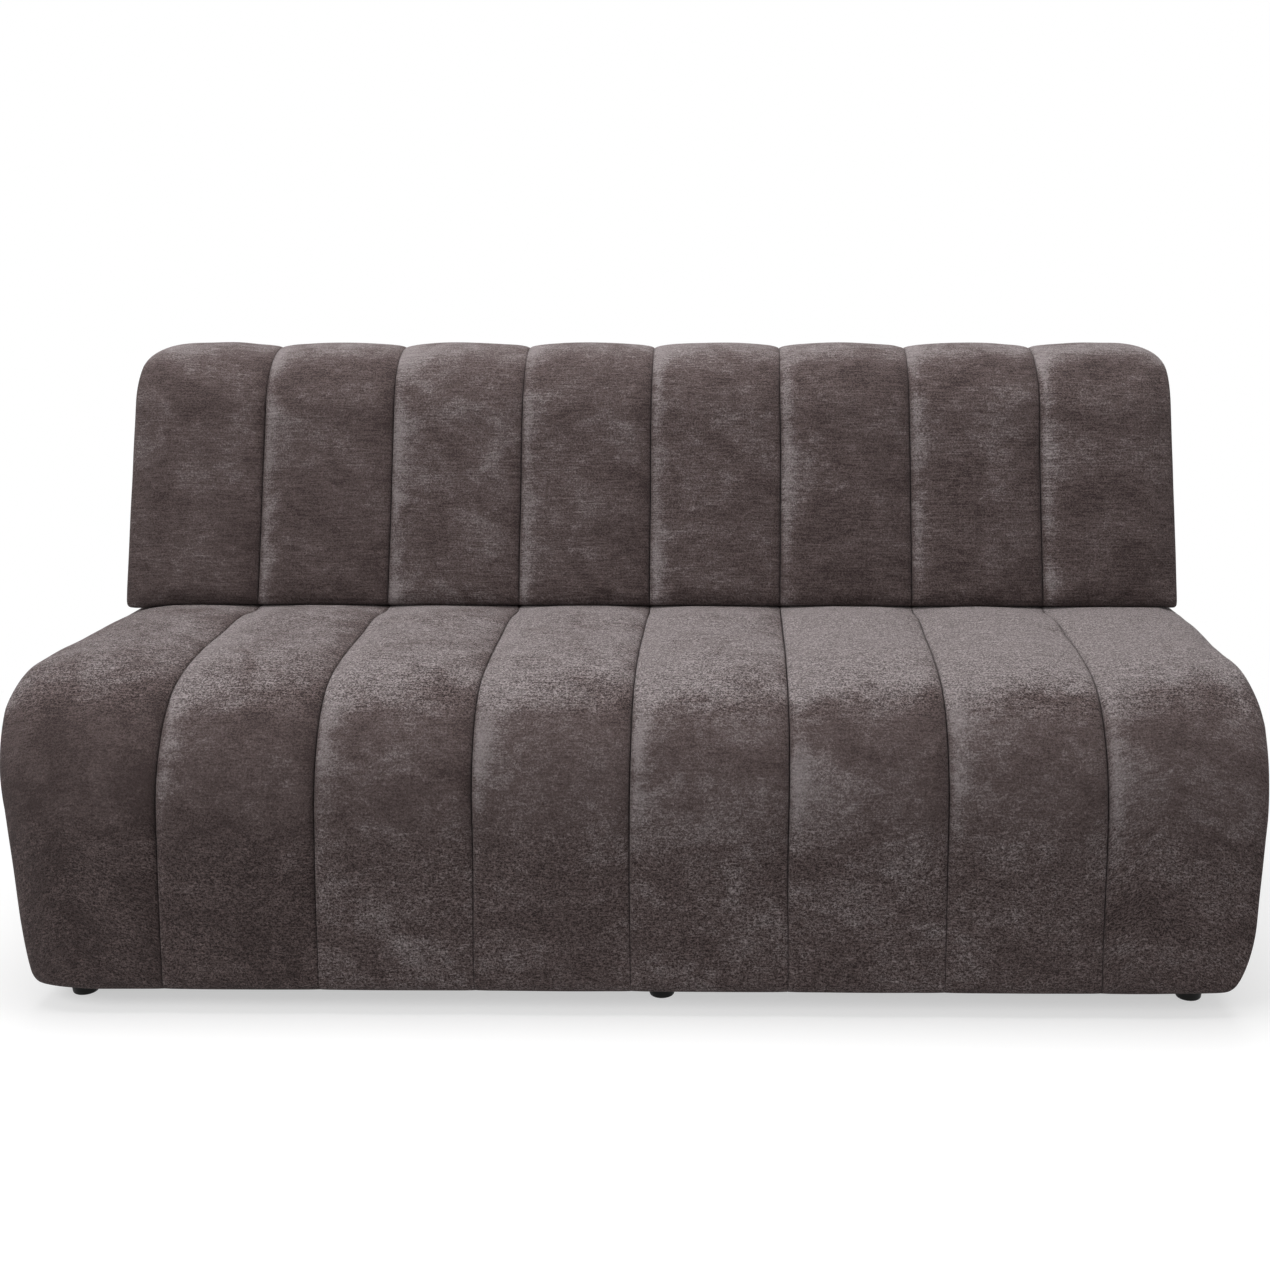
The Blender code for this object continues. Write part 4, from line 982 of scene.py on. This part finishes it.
class Nodes:
    """Short words for building a node material. Most return the new node's output."""

    def __init__(self, name):
        self.material = bpy.data.materials.new(name)
        self.material.use_nodes = True
        self.tree = self.material.node_tree
        self.shader = self.tree.nodes["Principled BSDF"]

    def add(self, kind, output, values=None, **settings):
        return add_node(self.tree, kind, values, **settings).outputs[output]

    def set(self, name, value):
        put(self.tree, self.shader.inputs[name], value)

    def noise(self, source, scale, shift, detail, rough, distortion):
        """Noise, with its scale in waves to a metre."""
        spot = {"Vector": source, "Scale": scale, "Location": shift}
        vector = self.add("ShaderNodeMapping", "Vector", spot)
        looks = {"Scale": 1.0, "Detail": detail, "Roughness": rough, "Distortion": distortion}
        return self.add("ShaderNodeTexNoise", "Fac", {"Vector": vector, **looks})

    def cloth_noise(self, scale, shift, *looks):
        """Noise on the cloth, across and along the channel."""
        source = self.add("ShaderNodeUVMap", "UV", uv_map="cloth")
        return self.noise(source, (*scale, 1), (*shift, 0), *looks)

    def attribute(self, name):
        return self.add("ShaderNodeAttribute", "Fac", attribute_name=name)

    def spread(self, value, low, high, to_low=0.0, to_high=1.0):
        values = {"Value": value, "From Min": low, "From Max": high, "To Min": to_low, "To Max": to_high}
        return self.add("ShaderNodeMapRange", "Result", values, interpolation_type="SMOOTHSTEP")

    def math(self, operation, a, b):
        return self.add("ShaderNodeMath", "Value", {0: a, 1: b}, operation=operation)

    def sum(self, *parts):
        """The sum of (value, weight) parts."""
        total = None
        for value, weight in parts:
            term = self.math("MULTIPLY", value, weight)
            total = term if total is None else self.math("ADD", total, term)
        return total

    def blend(self, share, a, b):
        values = {"Factor": share, "A": a, "B": b}
        return self.add("ShaderNodeMix", "Result", values, data_type="RGBA", blend_type="MIX")

    def bump(self, height, strength, distance, under=None):
        values = {"Height": height, "Strength": strength, "Distance": distance}
        if under is not None:
            values["Normal"] = under
        return self.add("ShaderNodeBump", "Normal", values)


def colour(r, g, b):
    return (r, g, b, 1.0)


def make_chenille():
    """Short pile over slubbed yarn. The nap attribute, with patches and pile, chooses dark or light: dark
    with painted shade, light with painted light from above and painted sheen.
    """
    n = Nodes("chenille")
    fuzz = n.cloth_noise((360, 390), (0, 0), 2.5, 0.65, 0.6)
    dash = n.cloth_noise((130, 430), (6, 1), 2.0, 0.6, 0.8)
    slub = n.cloth_noise((26, 380), (3, 8), 2.0, 0.55, 0.25)
    loops = n.cloth_noise((200, 210), (2, 7), 1.0, 0.5, 0.8)
    loops = n.spread(n.math("ABSOLUTE", n.math("SUBTRACT", loops, 0.5), 0.0), 0.0, 0.05, 1.0, 0.0)
    mottle = n.cloth_noise((48, 75), (5, 2), 3.0, 0.6, 0.6)
    patch = n.cloth_noise((9, 12), (9, 4), 4.0, 0.6, 0.8)
    yarn = n.blend(n.attribute("curl"), slub, dash)
    pile = n.spread(n.sum((fuzz, 0.50), (yarn, 0.38), (loops, 0.12)), 0.32, 0.62)
    uneven = n.sum((patch, 1.35), (mottle, 0.76), (pile, 0.45))
    # state: the nap's tone with painted light and shade, made uneven by patches and pile
    state = n.math("ADD", n.attribute("nap_and_painted_light"), n.math("SUBTRACT", uneven, 1.275))
    # the share of painted light: tops as if lit from above with sheen, and flanks
    painted_light_share = n.spread(state, 0.10, 0.95)
    fleck = n.math("MULTIPLY", n.math("SUBTRACT", pile, 0.5), n.attribute("fleck"))
    fleck = n.math("ADD", fleck, 0.5)
    # dark: the darkest colours, in dark patches and in the painted shade
    dark = n.blend(fleck, colour(0.0202, 0.0138, 0.0131), colour(0.083, 0.0584, 0.0560))
    deep = n.blend(fleck, colour(0.0325, 0.0225, 0.0214), colour(0.152, 0.1125, 0.1085))
    # raised: the lighter colours of the painted light and painted sheen
    raised = n.blend(fleck, colour(0.108, 0.0912, 0.0910), colour(0.360, 0.3150, 0.3150))
    deep = n.blend(n.spread(state, -0.35, 0.20), dark, deep)
    n.set("Base Color", n.blend(painted_light_share, deep, raised))
    n.set("Roughness", n.spread(painted_light_share, 0.0, 1.0, 0.96, 0.86))
    n.set("Specular IOR Level", 0.15)
    n.set("Sheen Weight", 0.13)
    n.set("Sheen Roughness", 0.42)
    n.set("Sheen Tint", colour(0.88, 0.78, 0.78))
    coarse = n.bump(uneven, 0.25, 0.003)
    n.set("Normal", n.bump(pile, 0.6, 0.0015, coarse))
    return n.material


def make_plain(name, low, high, scale, rough, bump, depth, metallic=0.0, specular=0.5):
    """A finish of two colours with grain, its waves to a metre given for each direction."""
    n = Nodes(name)
    grain = n.noise(n.add("ShaderNodeTexCoord", "Object"), scale, (0, 0, 0), 4.0, 0.6, 0.4)
    n.set("Base Color", n.blend(n.spread(grain, 0.3, 0.7), colour(*low), colour(*high)))
    n.set("Roughness", n.spread(grain, 0.2, 0.8, rough - 0.08, rough + 0.08))
    n.set("Metallic", metallic)
    n.set("Specular IOR Level", specular)
    n.set("Normal", n.bump(grain, bump, depth))
    return n.material


# Darker and lighter colour, grain, roughness, bump and its depth, and metallic and specular where set
PLAIN = {
    "foam": ((0.62, 0.55, 0.36), (0.80, 0.74, 0.55), (900, 900, 900), 0.9, 0.6, 0.001),
    "felt": ((0.20, 0.20, 0.21), (0.38, 0.38, 0.39), (500, 500, 500), 0.92, 0.5, 0.001),
    "nonwoven": ((0.008, 0.008, 0.009), (0.03, 0.03, 0.032), (700, 700, 700), 0.85, 0.4, 0.0006),
    "timber": ((0.45, 0.29, 0.14), (0.68, 0.50, 0.30), (6, 160, 160), 0.6, 0.2, 0.0008),
    "plywood": ((0.40, 0.26, 0.13), (0.60, 0.43, 0.25), (220, 14, 30), 0.65, 0.2, 0.0008),
    "steel": ((0.38, 0.38, 0.39), (0.58, 0.58, 0.59), (300, 60, 300), 0.35, 0.1, 0.0003, 1.0),
    "black_plastic": (
        (0.003, 0.003, 0.003), (0.009, 0.008, 0.008), (900, 900, 900), 0.5, 0.15, 0.0003, 0.0, 0.2
    ),
}
MATERIALS = {"chenille": make_chenille()}
MATERIALS.update((name, make_plain(name, *values)) for name, values in PLAIN.items())


def dress_solids():
    """Better finishes for the solids that stay."""
    slots = {row["node"]: row["material_slot"] for row in frame["record"]["subparts"]}
    for name, piece in frame["nodes"].items():
        piece.data.materials.clear()
        piece.data.materials.append(MATERIALS[slots[name]])


# Stage, light and camera
FLOOR_REACH = 14.0
FLOOR_GREY = 0.54
FLOOR_GLOW = 0.52
FLOOR_FADE = (1.15, 2.2)  # how far from the sofa's middle the floor fades to white
ROOM_LIGHT = 0.28
WHITE = colour(1.0, 1.0, 1.0)


def seen_directly(tree):
    """1 for camera, glossy and transmission rays."""
    rays = add_node(tree, "ShaderNodeLightPath").outputs
    total = rays["Is Camera Ray"]
    for name in ("Is Glossy Ray", "Is Transmission Ray"):
        total = add_node(tree, "ShaderNodeMath", {0: total, 1: rays[name]}, operation="MAXIMUM").outputs[0]
    return total


def mixed(tree, share, first, second):
    """A mix of two shaders or backgrounds."""
    return add_node(tree, "ShaderNodeMixShader", {0: share, 1: first, 2: second}).outputs[0]


def floor_material():
    """Pale paper. Seen by the camera it is near white, and it fades to white away from the sofa."""
    material = bpy.data.materials.new("floor")
    material.use_nodes = True
    tree = material.node_tree
    tree.nodes.clear()
    grey = colour(FLOOR_GREY, FLOOR_GREY, FLOOR_GREY)
    paper = add_node(tree, "ShaderNodeBsdfDiffuse", {"Color": grey}).outputs[0]
    glow = add_node(tree, "ShaderNodeEmission", {"Strength": FLOOR_GLOW}).outputs[0]
    white = add_node(tree, "ShaderNodeEmission", {"Color": WHITE, "Strength": 1.0}).outputs[0]
    lit = add_node(tree, "ShaderNodeAddShader", {0: paper, 1: glow}).outputs[0]
    spot = add_node(tree, "ShaderNodeTexCoord").outputs["Object"]
    away = add_node(tree, "ShaderNodeVectorMath", {0: spot}, operation="LENGTH").outputs["Value"]
    values = {"Value": away, "From Min": FLOOR_FADE[0], "From Max": FLOOR_FADE[1]}
    fade = add_node(tree, "ShaderNodeMapRange", values, interpolation_type="SMOOTHSTEP").outputs["Result"]
    shown = mixed(tree, seen_directly(tree), paper, mixed(tree, fade, lit, white))
    add_node(tree, "ShaderNodeOutputMaterial", {"Surface": shown})
    return material


def make_stage():
    mesh = bpy.data.meshes.new("floor")
    corners = [(FLOOR_REACH * x, FLOOR_REACH * y, 0) for x, y in ((-1, -1), (1, -1), (1, 1), (-1, 1))]
    mesh.from_pydata(corners, [], [(0, 1, 2, 3)])
    floor = bpy.data.objects.new("floor", mesh)
    bpy.context.scene.collection.objects.link(floor)
    mesh.materials.append(floor_material())


def make_world():
    """Soft light all round, and a white background."""
    world = bpy.data.worlds.new("studio")
    bpy.context.scene.world = world
    world.use_nodes = True
    tree = world.node_tree
    tree.nodes.clear()
    room = add_node(tree, "ShaderNodeBackground", {"Color": WHITE, "Strength": ROOM_LIGHT}).outputs[0]
    white = add_node(tree, "ShaderNodeBackground", {"Color": WHITE, "Strength": 1.0}).outputs[0]
    shown = mixed(tree, seen_directly(tree), room, white)
    add_node(tree, "ShaderNodeOutputWorld", {"Surface": shown})


def area_lamp(name, location, target, size, power):
    data = bpy.data.lights.new(name, "AREA")
    data.shape = "RECTANGLE"
    data.size, data.size_y = size
    data.energy = power
    lamp = bpy.data.objects.new(name, data)
    lamp.location = location
    offset = np.array(target) - np.array(location)
    lamp.rotation_euler = (
        math.atan2(math.hypot(offset[0], offset[1]), -offset[2]),
        0.0,
        math.atan2(offset[1], offset[0]) - QUARTER,
    )
    bpy.context.scene.collection.objects.link(lamp)


def make_lights():
    middle = (0.0, 0.0, 0.5)
    area_lamp("overhead", (0.0, 0.1, 3.2), target=(0.0, 0.0, 0.0), size=(3.4, 2.0), power=95)
    area_lamp("key", (-2.6, -2.8, 2.6), target=middle, size=(2.0, 2.0), power=70)
    area_lamp("fill", (2.8, -3.2, 1.8), target=middle, size=(2.0, 2.0), power=22)


def make_camera():
    data = bpy.data.cameras.new("camera")
    data.sensor_width = 36.0
    data.lens = 45.727
    data.shift_x = -0.067
    data.shift_y = -0.1065
    camera = bpy.data.objects.new("camera", data)
    camera.location = (0.1528, -2.5535, 1.0487)
    camera.rotation_euler = (math.radians(82.0), 0.0, math.radians(0.7))
    bpy.context.scene.collection.objects.link(camera)
    bpy.context.scene.camera = camera


make_camera()
make_world()
make_lights()
make_stage()
dress_solids()
soft_pieces = make_channels() + make_end_pads() + make_covers()
inflate(soft_pieces)
make_filling()
make_dust_cover()
make_feet()
bpy.context.scene.view_settings.view_transform = "Standard"
